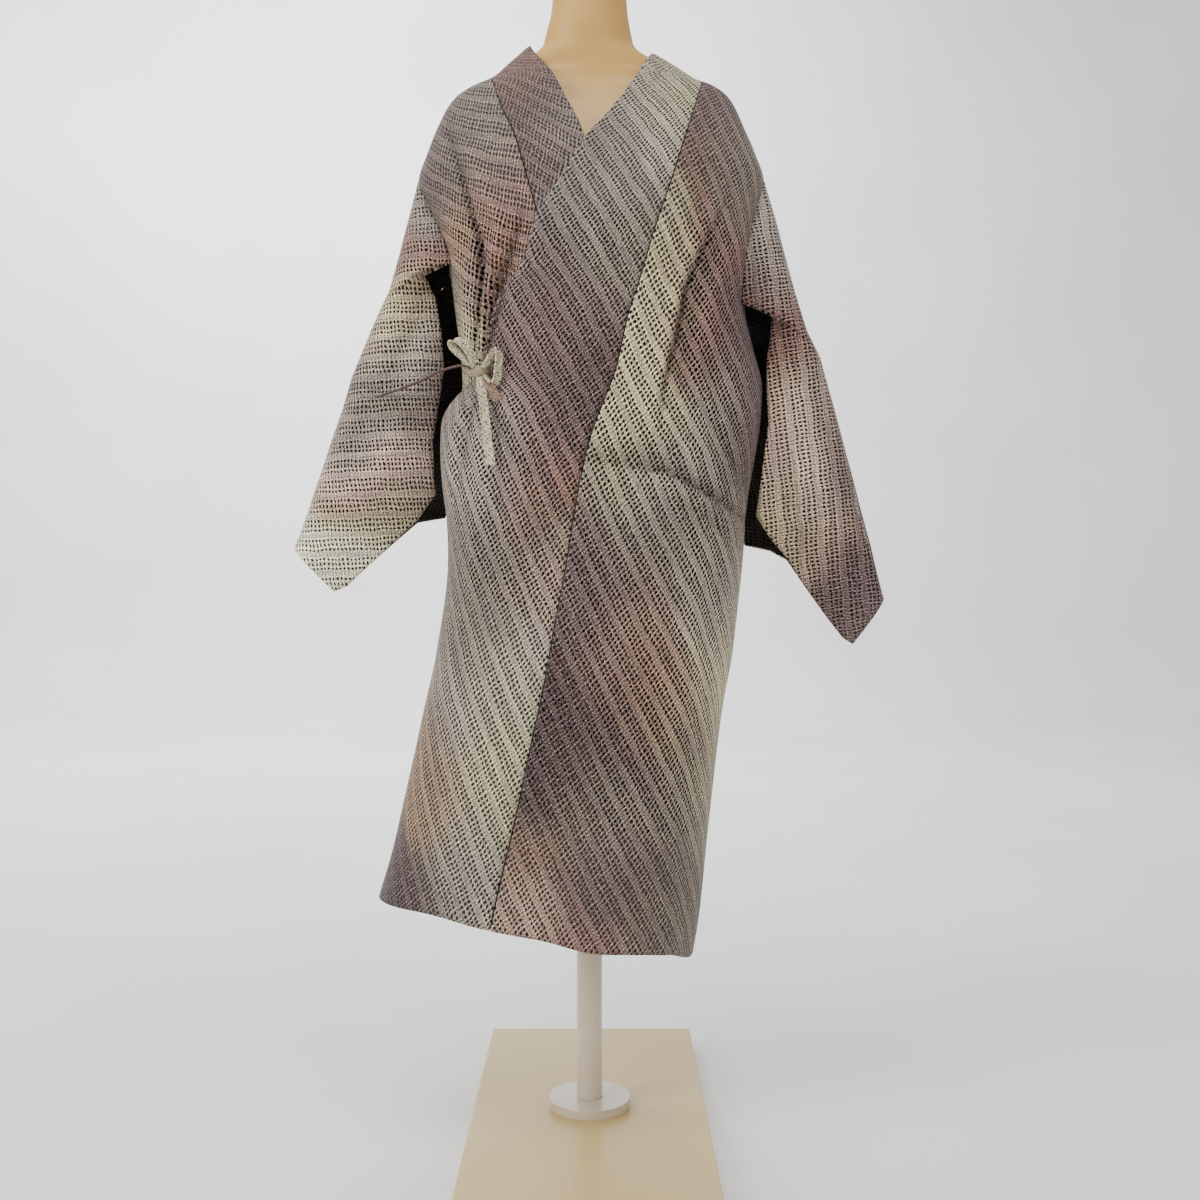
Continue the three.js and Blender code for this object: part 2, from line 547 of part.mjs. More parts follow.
// A flat ribbon along a smooth line, its broad side facing the given way.
function ribbon(line, facing, wide = RIBBON_WIDTH, thick = RIBBON_THICK, steps = 14) {
  const curve = new THREE.CatmullRomCurve3(line.map(([x, y, z]) => new THREE.Vector3(x, y, z)));
  const face = new THREE.Vector3(...facing).normalize();
  const flat = [];
  const index = [];
  for (let k = 0; k <= steps; k += 1) {
    const p = curve.getPointAt(k / steps);
    const along = curve.getTangentAt(k / steps);
    const across = along.clone().cross(face).normalize();
    const up = across.clone().cross(along).normalize();
    for (const [a, b] of [[-1, -1], [1, -1], [1, 1], [-1, 1]]) {
      const q = p.clone().addScaledVector(across, (a * wide) / 2).addScaledVector(up, (b * thick) / 2);
      flat.push(q.x, q.y, q.z);
    }
  }
  for (let k = 0; k < steps; k += 1) {
    for (let m = 0; m < 4; m += 1) {
      const a = 4 * k + m;
      const b = 4 * k + ((m + 1) % 4);
      index.push(a, b + 4, b, a, a + 4, b + 4);
    }
  }
  const e = 4 * steps;
  index.push(0, 1, 2, 0, 2, 3, e, e + 2, e + 1, e, e + 3, e + 2);
  const geometry = new THREE.BufferGeometry();
  geometry.setAttribute("position", new THREE.Float32BufferAttribute(flat, 3));
  geometry.setIndex(index);
  return geometry;
}

function tiePieces() {
  const { x, y, z } = KNOT;
  const knot = new THREE.SphereGeometry(1, 14, 10);
  knot.scale(KNOT.wide, KNOT.deep, KNOT.tall);
  knot.translate(x, y, z);
  return {
    tie_knot: mergeVertices(knot.deleteAttribute("uv").deleteAttribute("normal")),
    tie_loop_upper: ribbon([
      [x - 5, y - 1, z + 8.5], [x - 16, y - 6, z + 24], [x - 27, y - 9, z + 32], [x - 31, y - 4, z + 27],
      [x - 24, y + 1, z + 20], [x - 13, y + 1, z + 8],
    ], [0.35, 0.1, -1], 9),
    tie_loop_side: ribbon([
      [x + 10.2, y - 2, z + 4], [x + 22, y - 8, z + 14], [x + 30, y - 13, z + 16], [x + 33, y - 16, z + 8],
      [x + 26, y - 14, z - 3], [x + 11.5, y - 4, z - 5],
    ], [0, -1, 0.15], 8),
    tie_tail_long: ribbon([
      [x + 2, y - 2, z - 8.75], [x + 6, y - 9, z - 40], [x + 11, y - 15, z - 75], [x + 15, y - 21, z - 104],
    ], [0.25, -1, 0]),
    tie_tail_side: ribbon([
      [x - 11.7, y - 2, z + 1], [x - 32, y + 2, z + 1], [x - 60, y + 23, z - 5], [x - 88, y + 43, z - 14],
      [x - 114, y + 44, z - 20],
    ], [0.05, 0.15, -1], 9, 1.8, 16),
  };
}

function form() {
  const segments = 28;
  const rings = [];
  const oval = (row) => {
    const points = [];
    for (let k = 0; k < segments; k += 1) {
      const a = (2 * Math.PI * k) / segments;
      const depth = Math.cos(a) > 0 ? row.front : row.back;
      points.push(new THREE.Vector3((row.x ?? 0) + row.half * Math.sin(a), -depth * Math.cos(a), row.z));
    }
    return points;
  };
  for (const row of FORM_TORSO) rings.push(oval(row));
  for (const { z, gap } of SHOULDER_ROWS) {
    const points = [];
    for (let k = 0; k < segments; k += 1) {
      const a = (2 * Math.PI * k) / segments;
      const p = ring(z, a, false);
      const n = outward((b, h) => ring(h, b, false), a, z);
      p.addScaledVector(n, -(WALL + gap));
      const flat = 1 - 0.34 * Math.abs(Math.cos(a));
      points.push(new THREE.Vector3(p.x, p.y * flat, p.z));
    }
    rings.push(points);
  }
  for (const row of NECK_ROWS) rings.push(oval(row));
  const flat = [];
  for (const points of rings) for (const p of points) flat.push(p.x, p.y, p.z);
  const low = rings.length * segments;
  flat.push(0, 0, rings[0][0].z, 0, 0, rings[rings.length - 1][0].z);
  const index = [];
  for (let j = 0; j < rings.length - 1; j += 1) {
    for (let k = 0; k < segments; k += 1) {
      const a = j * segments + k;
      const b = j * segments + ((k + 1) % segments);
      index.push(a, b, b + segments, a, b + segments, a + segments);
    }
  }
  for (let k = 0; k < segments; k += 1) {
    const next = (k + 1) % segments;
    const last = (rings.length - 1) * segments;
    index.push(low, next, k, low + 1, last + k, last + next);
  }
  const geometry = new THREE.BufferGeometry();
  geometry.setAttribute("position", new THREE.Float32BufferAttribute(flat, 3));
  geometry.setIndex(index);
  return geometry;
}

function upright(geometry, z) {
  return geometry.rotateX(Math.PI / 2).translate(0, 0, z);
}

function board() {
  const { wide, long, thick, bevel } = BOARD;
  const shape = new THREE.Shape();
  const w = wide / 2 - bevel;
  const l = long / 2 - bevel;
  shape.moveTo(-w, -l);
  shape.lineTo(w, -l);
  shape.lineTo(w, l);
  shape.lineTo(-w, l);
  shape.closePath();
  const solid = new THREE.ExtrudeGeometry(shape, {
    depth: thick - 2 * bevel, bevelEnabled: true, bevelThickness: bevel, bevelSize: bevel, bevelSegments: 2,
  });
  return mergeVertices(solid.translate(0, 0, bevel).deleteAttribute("uv").deleteAttribute("normal"), 1e-4);
}

const group = new THREE.Group();
function place(name, geometry, color) {
  const mesh = new THREE.Mesh(geometry, new THREE.MeshStandardMaterial({ color }));
  mesh.name = name;
  group.add(mesh);
}

place("body_left", bodyHalf(1), COLOURS.pink);
place("body_right", bodyHalf(-1), COLOURS.mauve);
place("band_left", band(1), COLOURS.sage);
place("band_right", band(-1), COLOURS.pink);
place("collar_back", collarBack(), COLOURS.mauve);
place("sleeve_left", sleeve(1), COLOURS.mauve);
place("sleeve_right", sleeve(-1), COLOURS.sage);
for (const [name, geometry] of Object.entries(tiePieces())) place(name, geometry, COLOURS.sage);
place("form_torso", form(), COLOURS.cream);
const capDisc = new THREE.CylinderGeometry(CAP.radius, CAP.radius, CAP.tall, 40);
place("form_cap", upright(capDisc, CAP.z + CAP.tall / 2), COLOURS.cream);
place("form_pole", upright(new THREE.CylinderGeometry(POLE.radius, POLE.radius, POLE.top - POLE.bottom, 32),
  (POLE.top + POLE.bottom) / 2), COLOURS.steel);
place("pole_flange", upright(new THREE.CylinderGeometry(FLANGE.radius, FLANGE.radius, FLANGE.tall - 0.3, 40),
  BOARD.thick + 0.3 + (FLANGE.tall - 0.3) / 2), COLOURS.steel);
place("base_board", board(), COLOURS.board);

export default group;
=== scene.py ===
import math

import bmesh
import bpy
import numpy as np
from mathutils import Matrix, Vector


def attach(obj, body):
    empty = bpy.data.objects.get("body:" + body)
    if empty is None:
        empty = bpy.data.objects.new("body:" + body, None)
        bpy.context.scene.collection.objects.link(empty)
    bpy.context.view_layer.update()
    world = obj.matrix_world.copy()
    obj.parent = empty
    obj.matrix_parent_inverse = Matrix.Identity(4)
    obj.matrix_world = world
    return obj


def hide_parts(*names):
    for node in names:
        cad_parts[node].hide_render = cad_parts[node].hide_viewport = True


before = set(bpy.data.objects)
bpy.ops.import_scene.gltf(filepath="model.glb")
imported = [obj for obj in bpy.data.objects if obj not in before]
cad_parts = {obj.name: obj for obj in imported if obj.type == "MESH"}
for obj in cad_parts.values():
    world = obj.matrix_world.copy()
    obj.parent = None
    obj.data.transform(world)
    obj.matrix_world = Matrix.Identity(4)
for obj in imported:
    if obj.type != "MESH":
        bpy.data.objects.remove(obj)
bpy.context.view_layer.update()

# %% [markdown]
# A kimono coat is cut from straight lengths of narrow cloth, so its shape on a form comes from a few things:
# how wide and deep it hangs at each height, where its seams and edges run, and how the top front laps over the
# lower one. Those sizes are kept here as short tables, in millimetres, and every piece below reads them.
# A table is easier to mend than a sculpted mesh: one number moves one place of the coat.

# %% Sizes: sections of the hanging coat, seams, edges and hems
MM = 0.001
MID_X = 5.0
SECTION_COLUMNS = ("z", "left", "right", "lap_left", "front", "back", "power")
SECTIONS = [
    (1200, -60, 52, -60, 12, 44, 2.0), (1195, -66, 59, -66, 16, 48, 2.0), (1186, -76, 70, -76, 24, 54, 2.0),
    (1172, -91, 92, -91, 38, 62, 2.0), (1156, -108, 115, -108, 52, 71, 2.0), (1150, -119, 124, -119, 57, 74, 2.0),
    (1142, -137, 145, -137, 63, 78, 2.0), (1130, -152, 157, -152, 71, 83, 2.0), (1100, -168, 171, -168, 87, 92, 2.0),
    (1072, -179, 183, -179, 98, 97, 1.95), (1043, -188, 192, -188, 107, 101, 1.95),
    (1010, -175, 184, -175, 112, 103, 2.1), (978, -163, 179, -163, 114, 103, 2.2),
    (947, -154, 175, -156, 114, 102, 2.25), (904, -147, 171, -150, 112, 100, 2.25),
    (860, -142, 181, -146, 110, 98, 2.2), (820, -141, 190, -147, 108, 97, 2.15),
    (773, -150, 186, -160, 112, 101, 2.15), (720, -150, 179, -159, 114, 105, 2.2),
    (673, -148, 172, -155, 114, 108, 2.2), (629, -146, 168, -153, 113, 110, 2.2),
    (529, -154, 158, -165, 111, 112, 2.2), (463, -166, 146, -180, 110, 113, 2.2),
    (384, -178, 136, -197, 110, 113, 2.2), (308, -190, 129, -215, 110, 113, 2.2),
    (255, -198, 122, -230, 110, 113, 2.2), (190, -206, 113, -244, 110, 112, 2.2),
]
# Each of these is (height, x) seen from the front.
TOP_SEAM = [
    (1150, 124), (1100, 110), (1056, 97), (1020, 86), (957, 65), (900, 48), (880, 41), (820, 27), (749, 1),
    (677, -14), (621, -23), (577, -31), (506, -44), (441, -58), (374, -72), (303, -89), (250, -100), (190, -112),
]
TOP_EDGE = [
    (1186, 70), (1160, 59), (1124, 42), (1086, 17), (1058, -4), (1020, -26), (982, -50), (931, -67), (904, -90),
    (879, -100), (850, -108), (826, -113), (700, -140),
]
UNDER_SEAM = [
    (1156, -108), (1101, -91), (1071, -78), (1030, -66), (1004, -59), (984, -53), (947, -42), (904, -30),
    (820, -15), (700, -5), (600, 0), (400, 5), (190, 5),
]
UNDER_EDGE = [
    (1195, -66), (1179, -59), (1144, -39), (1109, -24), (1079, -10), (1058, -3), (1000, 30), (950, 52), (904, 74),
    (850, 98), (820, 106), (700, 106), (600, 100), (500, 94), (400, 86), (300, 78), (190, 70),
]
# Hem height at each x: (x, height).
HEM_FRONT = [
    (-250, 264), (-228, 262), (-160, 256), (-105, 246), (-45, 236), (5, 224), (40, 222), (80, 216), (112, 203),
    (130, 200),
]
HEM_BACK = [(-230, 248), (-150, 232), (0, 214), (90, 204), (130, 200)]
CHEST, ARMHOLE_TOP, WAIST = 1100.0, 1043.0, 822.0
ARMPIT = {1: 904.0, -1: 947.0}
JOIN = {1: 1150.0, -1: 1156.0}
NECK = {1: 1186.0, -1: 1195.0}
NAPE_JOIN, NAPE_TOP, TOP_CLEAR = 1112.0, 1172.0, 1.2
CLOTH_THICK = 1.1
LAP_LIFT, LAP_RAMP = 2.9, 26.0
# Above this height the holes are painted near-black, as painted shadow, where the form would show through them.
LIES_ON_FORM = 985.0
print("sections:", len(SECTIONS), "from", SECTIONS[-1][0], "to", SECTIONS[0][0], "mm")


# %% Reading a table smoothly
def smooth(t):
    c = np.clip(t, 0.0, 1.0)
    return c * c * (3 - 2 * c)


def cubic(t, start, end, leave, arrive):
    """From start to end as t goes from 0 to 1, with the given slopes at both ends."""
    return ((2 * t**3 - 3 * t**2 + 1) * start + (t**3 - 2 * t**2 + t) * leave
            + (3 * t**2 - 2 * t**3) * end + (t**3 - t**2) * arrive)


def curve_through(pairs):
    """A function through (key, value) rows that is smooth and never overshoots them."""
    keys, values = np.array(sorted(pairs), dtype=float).T
    gap = np.diff(keys)
    slope = np.diff(values) / gap
    tangent = np.empty_like(values)
    tangent[0], tangent[-1] = slope[0], slope[-1]
    a, b = slope[:-1], slope[1:]
    mixed = np.where(a + b == 0, 1, a + b)
    tangent[1:-1] = np.where(a * b <= 0, 0, 2 * a * b / mixed)

    def read(at):
        at = np.clip(at, keys[0], keys[-1])
        i = np.clip(np.searchsorted(keys, at, side="right") - 1, 0, len(keys) - 2)
        h = gap[i]
        return cubic((at - keys[i]) / h, values[i], values[i + 1], h * tangent[i], h * tangent[i + 1])

    return read


section = {name: curve_through([(row[0], row[k]) for row in SECTIONS]) for k, name in enumerate(SECTION_COLUMNS) if k}
top_seam, top_edge, under_seam, under_edge, hem_front, hem_back = (
    curve_through(table) for table in (TOP_SEAM, TOP_EDGE, UNDER_SEAM, UNDER_EDGE, HEM_FRONT, HEM_BACK))
print("half width at the waist:", round(float(section["right"](WAIST)), 1), "mm")

# %% [markdown]
# Seen from above, each height of the coat is a flattened ring. The turn phi is 0 in front, +90 degrees at the
# wearer's left and 180 behind. The cloth's form is the ring plus folds: soft ridges and troughs that each follow a
# path seen from the front or the back. Real folds start where the cloth is held (shoulder, armpit, tie) and fade
# out as they fall, so each path here is strongest in its middle and its width and height differ.

# %% Folds: (width, height, path), in mm, with troughs below zero
FOLDS = {
    "top": [
        (3.0, -8.0, [(144, 1004), (130, 972), (116, 943), (107, 923), (99, 904), (94, 878), (90, 855), (85, 837),
                     (79, 814), (76, 795), (74, 760)]),
        (7, -2.6, [(142, 968), (124, 936), (110, 905), (103, 870), (98, 832), (92, 800)]),
        (8, 4.6, [(130, 998), (116, 962), (98, 928), (88, 892), (80, 850), (72, 812), (66, 776)]),
        (9, 2.6, [(158, 968), (144, 940), (128, 900), (120, 850), (112, 800)]),
        (3.0, -6.6, [(-4, 727), (30, 724), (80, 718), (110, 703), (164, 676), (176, 668)]),
        (7, -3.2, [(-10, 734), (30, 731), (80, 725), (110, 711), (150, 692)]),
        (7, 3.2, [(30, 752), (70, 750), (112, 738), (150, 720)]),
        (4, -7.0, [(-78, 930), (-88, 904), (-95, 880), (-102, 858), (-105, 836), (-104, 806)]),
        (8, 3.8, [(30, 708), (80, 701), (118, 686), (152, 660)]),
        (4, -3.2, [(96, 690), (124, 672), (156, 640)]),
        (6, -2.2, [(104, 800), (128, 770), (160, 720), (180, 690)]),
        (5, -2.0, [(116, 850), (136, 800), (168, 748)]),
        (6, 3.4, [(-104, 824), (-84, 784), (-60, 752), (-20, 738)]),
        (4, -3.8, [(-108, 812), (-96, 772), (-80, 738), (-48, 708)]),
        (5, -2.4, [(-106, 806), (-98, 760), (-92, 700), (-96, 640)]),
        (6, 3.0, [(-110, 806), (-114, 750), (-110, 690), (-118, 620)]),
        (4, -3.6, [(-112, 812), (-124, 770), (-133, 735), (-138, 690)]),
        (5, 3.2, [(-116, 814), (-132, 786), (-142, 758), (-146, 712)]),
        (16, 2.4, [(120, 640), (104, 560), (92, 480), (84, 400)]),
        (18, -2.2, [(60, 600), (40, 500), (22, 420), (10, 330)]),
        (12, 2.0, [(-100, 560), (-120, 470), (-140, 380), (-155, 300)]),
        (11, -1.8, [(-60, 420), (-80, 350), (-96, 280)]),
        (11, 2.0, [(30, 1060), (22, 1000), (10, 940)]),
        (9, -1.6, [(60, 1090), (52, 1030), (40, 970)]),
    ],
    "under": [
        (5.5, 6.6, [(-139, 1084), (-118, 1034), (-91, 971), (-99, 933), (-107, 894), (-113, 848), (-114, 800)]),
        (3.5, -9.0, [(-152, 1090), (-134, 1030), (-114, 956), (-112, 915), (-116, 884), (-120, 848), (-120, 800)]),
        (4.0, -9.0, [(-66, 985), (-75, 956), (-83, 933), (-94, 904), (-101, 874), (-106, 841), (-106, 800)]),
        (5, 3.4, [(-112, 1000), (-126, 935), (-130, 894), (-130, 853), (-126, 810)]),
        (8, 3.0, [(-158, 1000), (-146, 984), (-138, 940), (-134, 900)]),
        (7, 1.8, [(-90, 1120), (-96, 1080), (-104, 1050)]),
    ],
    "back": [
        (18, 5.0, [(-110, 960), (-88, 900), (-60, 820), (-50, 760)]),
        (18, -5.0, [(90, 930), (70, 860), (52, 800), (40, 700)]),
        (20, 5.0, [(150, 760), (90, 710), (20, 690)]),
        (12, 2.6, [(-120, 700), (-110, 600), (-112, 500), (-130, 400)]),
        (14, -2.6, [(70, 600), (60, 500), (62, 400), (50, 300)]),
        (11, 2.4, [(110, 1010), (96, 960), (90, 900)]),
        (12, -2.0, [(-40, 660), (-30, 560), (-36, 460)]),
        (7, -3.0, [(-120, 900), (-104, 850), (-92, 790)]),
        (7, 2.8, [(130, 880), (116, 820), (96, 760)]),
        (8, -2.6, [(-20, 740), (40, 726), (100, 724)]),
    ],
}


print("folds:", {place: len(rows) for place, rows in FOLDS.items()})


# %% The coat's form: rings, folds and the lap of the two fronts
TURN_STEP, HEIGHT_STEP = 0.004, 2.0  # radians and mm, for finding which way the surface faces
SLACK_SMALL, SLACK_FROM = (0.8, 0.6), 1080.0


def reach(z, side, top):
    left = MID_X - (section["lap_left"](z) if top else section["left"](z))
    return np.where(side > 0, section["right"](z) - MID_X, left)


def turn_at(z, x, top=False):
    share = np.clip(np.abs(x - MID_X) / reach(z, np.sign(x - MID_X), top), 0, 1)
    return np.sign(x - MID_X) * np.arcsin(share ** (section["power"](z) / 2))


def ring(phi, z, top=False):
    s, c = np.sin(phi), np.cos(phi)
    power = 2 / section["power"](z)
    x = MID_X + np.sign(s) * reach(z, np.sign(s), top) * np.abs(s) ** power
    depth = np.where(c > 0, -section["front"](z), section["back"](z))
    return np.stack([x, depth * np.abs(c) ** power, z + 0 * phi], axis=-1)


def fold_rise(x, z, folds):
    """Height of the ridges and depth of the troughs at each point."""
    ridges, troughs = np.zeros_like(x), np.zeros_like(x)
    for width, height, path in folds:
        best, along = np.full_like(x, np.inf), np.zeros_like(x)
        for i, ((ax, az), (bx, bz)) in enumerate(zip(path, path[1:])):
            dx, dz = bx - ax, bz - az
            t = np.clip(((x - ax) * dx + (z - az) * dz) / (dx * dx + dz * dz), 0, 1)
            d = np.hypot(x - ax - t * dx, z - az - t * dz)
            along = np.where(d < best, (i + t) / (len(path) - 1), along)
            best = np.minimum(best, d)
        share = height * np.exp(-((best / width) ** 2)) * np.clip(0.2 + 3.4 * along * (1 - along), 0, 1)
        if height > 0:
            ridges += share
        else:
            troughs += share
    return ridges, troughs


def outward(make, u, v):
    du = make(u + TURN_STEP, v) - make(u - TURN_STEP, v)
    dv = make(u, v + HEIGHT_STEP) - make(u, v - HEIGHT_STEP)
    n = np.cross(du, dv)
    return n / np.maximum(np.linalg.norm(n, axis=-1, keepdims=True), 1e-9)


def body_point(phi, z, top, folded=True):
    """A point of the top or the lower front's surface, or of the back's, which both share."""
    base = ring(phi, z, top)
    if not folded:
        return base
    x, y = base[..., 0], base[..., 1]
    ridges, troughs = fold_rise(x, z, FOLDS["top"])
    if top:
        front = ridges + troughs
    else:
        # Where it is covered the lower front goes in with the top one and never out.
        covered = smooth((x - top_edge(z) + 6) / 10)
        front = covered * troughs + (1 - covered) * sum(fold_rise(x, z, FOLDS["under"]))
    lift = np.where(y < 0, front, sum(fold_rise(x, z, FOLDS["back"]))) * smooth(np.abs(y) / 40)
    slack = SLACK_SMALL[0] * np.sin(x / 19 + z / 33) + SLACK_SMALL[1] * np.sin(z / 21 - x / 41)
    lift = lift + slack * smooth((SLACK_FROM - z) / 120)
    if top:
        lift = lift + LAP_LIFT * smooth((under_edge(z) + LAP_RAMP + 4 - x) / LAP_RAMP) * (np.cos(phi) > -0.2)
    return base + outward(lambda a, h: ring(a, h, top), phi, z) * lift[..., None]


print("middle of the chest lies at", np.round(body_point(np.array([0.0]), np.array([1000.0]), True)[0], 1), "mm")

# %% [markdown]
# Every cloth piece starts as a flat grid, the way it leaves the roll, and each grid point is then carried to its
# place on the form. The grid's own rows and columns follow the cloth's grain, so the weave can be drawn in a UV map
# that is measured in metres along the cloth: bands of open holes then keep their true size on slopes and round the
# sides. The map is turned so that its first direction runs along the woven bands.


# %% Measuring, handing over and finishing a piece
def piecewise(at, keys, values):
    """Straight runs between values at keys; a value may be an array as long as at."""
    out = np.zeros_like(at, dtype=float) + values[0]
    for k0, k1, v0, v1 in zip(keys, keys[1:], values, values[1:]):
        out = np.where(at >= k0, v0 + (v1 - v0) * np.clip((at - k0) / (k1 - k0), 0, 1), out)
    return out


def lengths_along(grid, axis):
    step = np.linalg.norm(np.diff(grid, axis=axis), axis=-1)
    total = np.cumsum(step, axis=axis)
    pad = [(0, 0), (0, 0)]
    pad[axis] = (1, 0)
    return np.pad(total, pad)


def hand_over(piece, node):
    """The piece moves with the part's only body and takes the place of a solid, where there is one."""
    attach(piece, "root")
    if node:
        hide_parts(node)


def finish_mesh(name, bm, thick=0.0, inside=0):
    mesh = bpy.data.meshes.new(name)
    bm.to_mesh(mesh)
    bm.free()
    mesh.shade_smooth()
    piece = bpy.data.objects.new(name, mesh)
    bpy.context.scene.collection.objects.link(piece)
    if thick:
        wall = piece.modifiers.new("cloth thickness", "SOLIDIFY")
        wall.thickness = thick * MM
        wall.offset = -1.0
        wall.use_rim = True
        wall.material_offset = inside
    return piece


# %% Making a sheet from a grid
def cloth(kind, cols, rows, place, band_turn, measure, gone=None, slit=None, shift=(0, 0), lean=0.42, shadowed_holes=None):
    """A sheet of cols by rows cells. place(col, row, folded) gives points in mm, band_turn is the bands' fall.

    measure(grid, across, down) gives the two directions of the flat cloth. gone(row, col) tells which cells are left
    out and slit(row, col) where an edge is cut open. shift and lean move and slant the rows of holes, and the last
    argument gives, from 0 to 1 for each col and row, how far the holes are painted near-black instead of open:
    painted shadow for the dark that would be seen through them."""
    bm = bmesh.new()
    bmesh.ops.create_grid(bm, x_segments=cols, y_segments=rows, size=1.0)
    bm.verts.ensure_lookup_table()
    col = [round((v.co.x + 1) / 2 * cols) for v in bm.verts]
    row = [round((1 - v.co.y) / 2 * rows) for v in bm.verts]
    all_cols, all_rows = np.meshgrid(np.arange(cols + 1.0), np.arange(rows + 1.0))
    grid, plain = (place(all_cols, all_rows, folded) for folded in (True, False))
    u, v = measure(plain, lengths_along(plain, 1), plain[0:1, :, 2] - lengths_along(plain, 0))
    a = math.radians(band_turn)
    along, down = u * math.cos(a) - v * math.sin(a) + shift[0], u * math.sin(a) + v * math.cos(a) + shift[1]
    flat = np.stack([along + lean * down, down], axis=-1) * MM
    # The dye attribute is each point's cloud colour times painted fold shade and highlight.
    dye = dye_with_fold_shade(grid, kind)
    # Where this is small the holes are painted near-black instead of open, as painted shadow: near the edges, where
    # the last argument says so and above LIES_ON_FORM.
    hem = edge_distance(grid) * (1 - shadowed_holes(all_cols, all_rows) if shadowed_holes else 1)
    hem = hem * smooth((LIES_ON_FORM - grid[..., 2]) / 60)
    uv_layer = bm.loops.layers.uv.new("Cloth")
    dye_and_shade_layer = bm.verts.layers.float_color.new("dye")
    open_holes_layer = bm.verts.layers.float.new("hem")
    for k, vert in enumerate(bm.verts):
        r, c = row[k], col[k]
        vert.co = Vector(grid[r, c]) * MM
        vert[dye_and_shade_layer] = (*dye[r, c], 1.0)
        vert[open_holes_layer] = float(hem[r, c])
    bm.verts.index_update()
    for face in bm.faces:
        for loop in face.loops:
            k = loop.vert.index
            loop[uv_layer].uv = flat[row[k], col[k]]
    cell = {f: (min(row[v.index] for v in f.verts), min(col[v.index] for v in f.verts)) for f in bm.faces}
    removed = [f for f, corner in cell.items() if gone and gone(*corner)]
    if slit:
        cut = [e for e in bm.edges if all(slit(row[v.index], col[v.index]) for v in e.verts)]
        bmesh.ops.split_edges(bm, edges=cut)
    if removed:
        bmesh.ops.delete(bm, geom=removed, context="FACES")
    bmesh.ops.remove_doubles(bm, verts=[v for v in bm.verts if not v.is_boundary], dist=1e-6)
    area = sum(f.calc_area() for f in bm.faces)
    bm.normal_update()
    bm.faces.ensure_lookup_table()
    sample = bm.faces[len(bm.faces) // 2]
    if sample.normal.xy.dot(sample.calc_center_median().xy) < 0:
        bmesh.ops.reverse_faces(bm, faces=bm.faces[:])
    piece = finish_mesh("coat_" + kind, bm, CLOTH_THICK, inside=1)
    hand_over(piece, kind)
    print(f"{kind}: {len(piece.data.polygons)} faces, {area:.3f} square metres")
    return piece, area


# %% [markdown]
# The yarn was dyed in long soft runs before weaving, so colour drifts over the coat in wide clouds rather than in
# a print: dusty mauve, pink-tan, greige and a yellowish sage. Each cloud is one row: its centre seen from the
# front, its reach and its dye. Every point of the cloth mixes the clouds near it, and the weave adds the fine
# streaks later. Behind, the same clouds are used with their own places.

# %% Dyes
DYES = {
    "mauve": (0.128, 0.070, 0.078), "deep": (0.060, 0.020, 0.028), "greige": (0.235, 0.185, 0.145),
    "pink": (0.270, 0.135, 0.110), "tan": (0.320, 0.190, 0.105), "sage": (0.560, 0.510, 0.300),
    "cream": (0.760, 0.700, 0.430), "pale": (1.0, 0.95, 0.70), "blush": (0.46, 0.31, 0.23),
    "fog": (0.42, 0.37, 0.32), "grey": (0.270, 0.235, 0.205), "rust": (0.200, 0.090, 0.060),
    "moss": (0.45, 0.43, 0.26), "ash": (0.50, 0.44, 0.38), "plum": (0.190, 0.105, 0.105),
    "umber": (0.185, 0.150, 0.118), "sand": (0.50, 0.38, 0.26), "rose": (0.74, 0.52, 0.42),
}
print("dyes:", ", ".join(DYES))

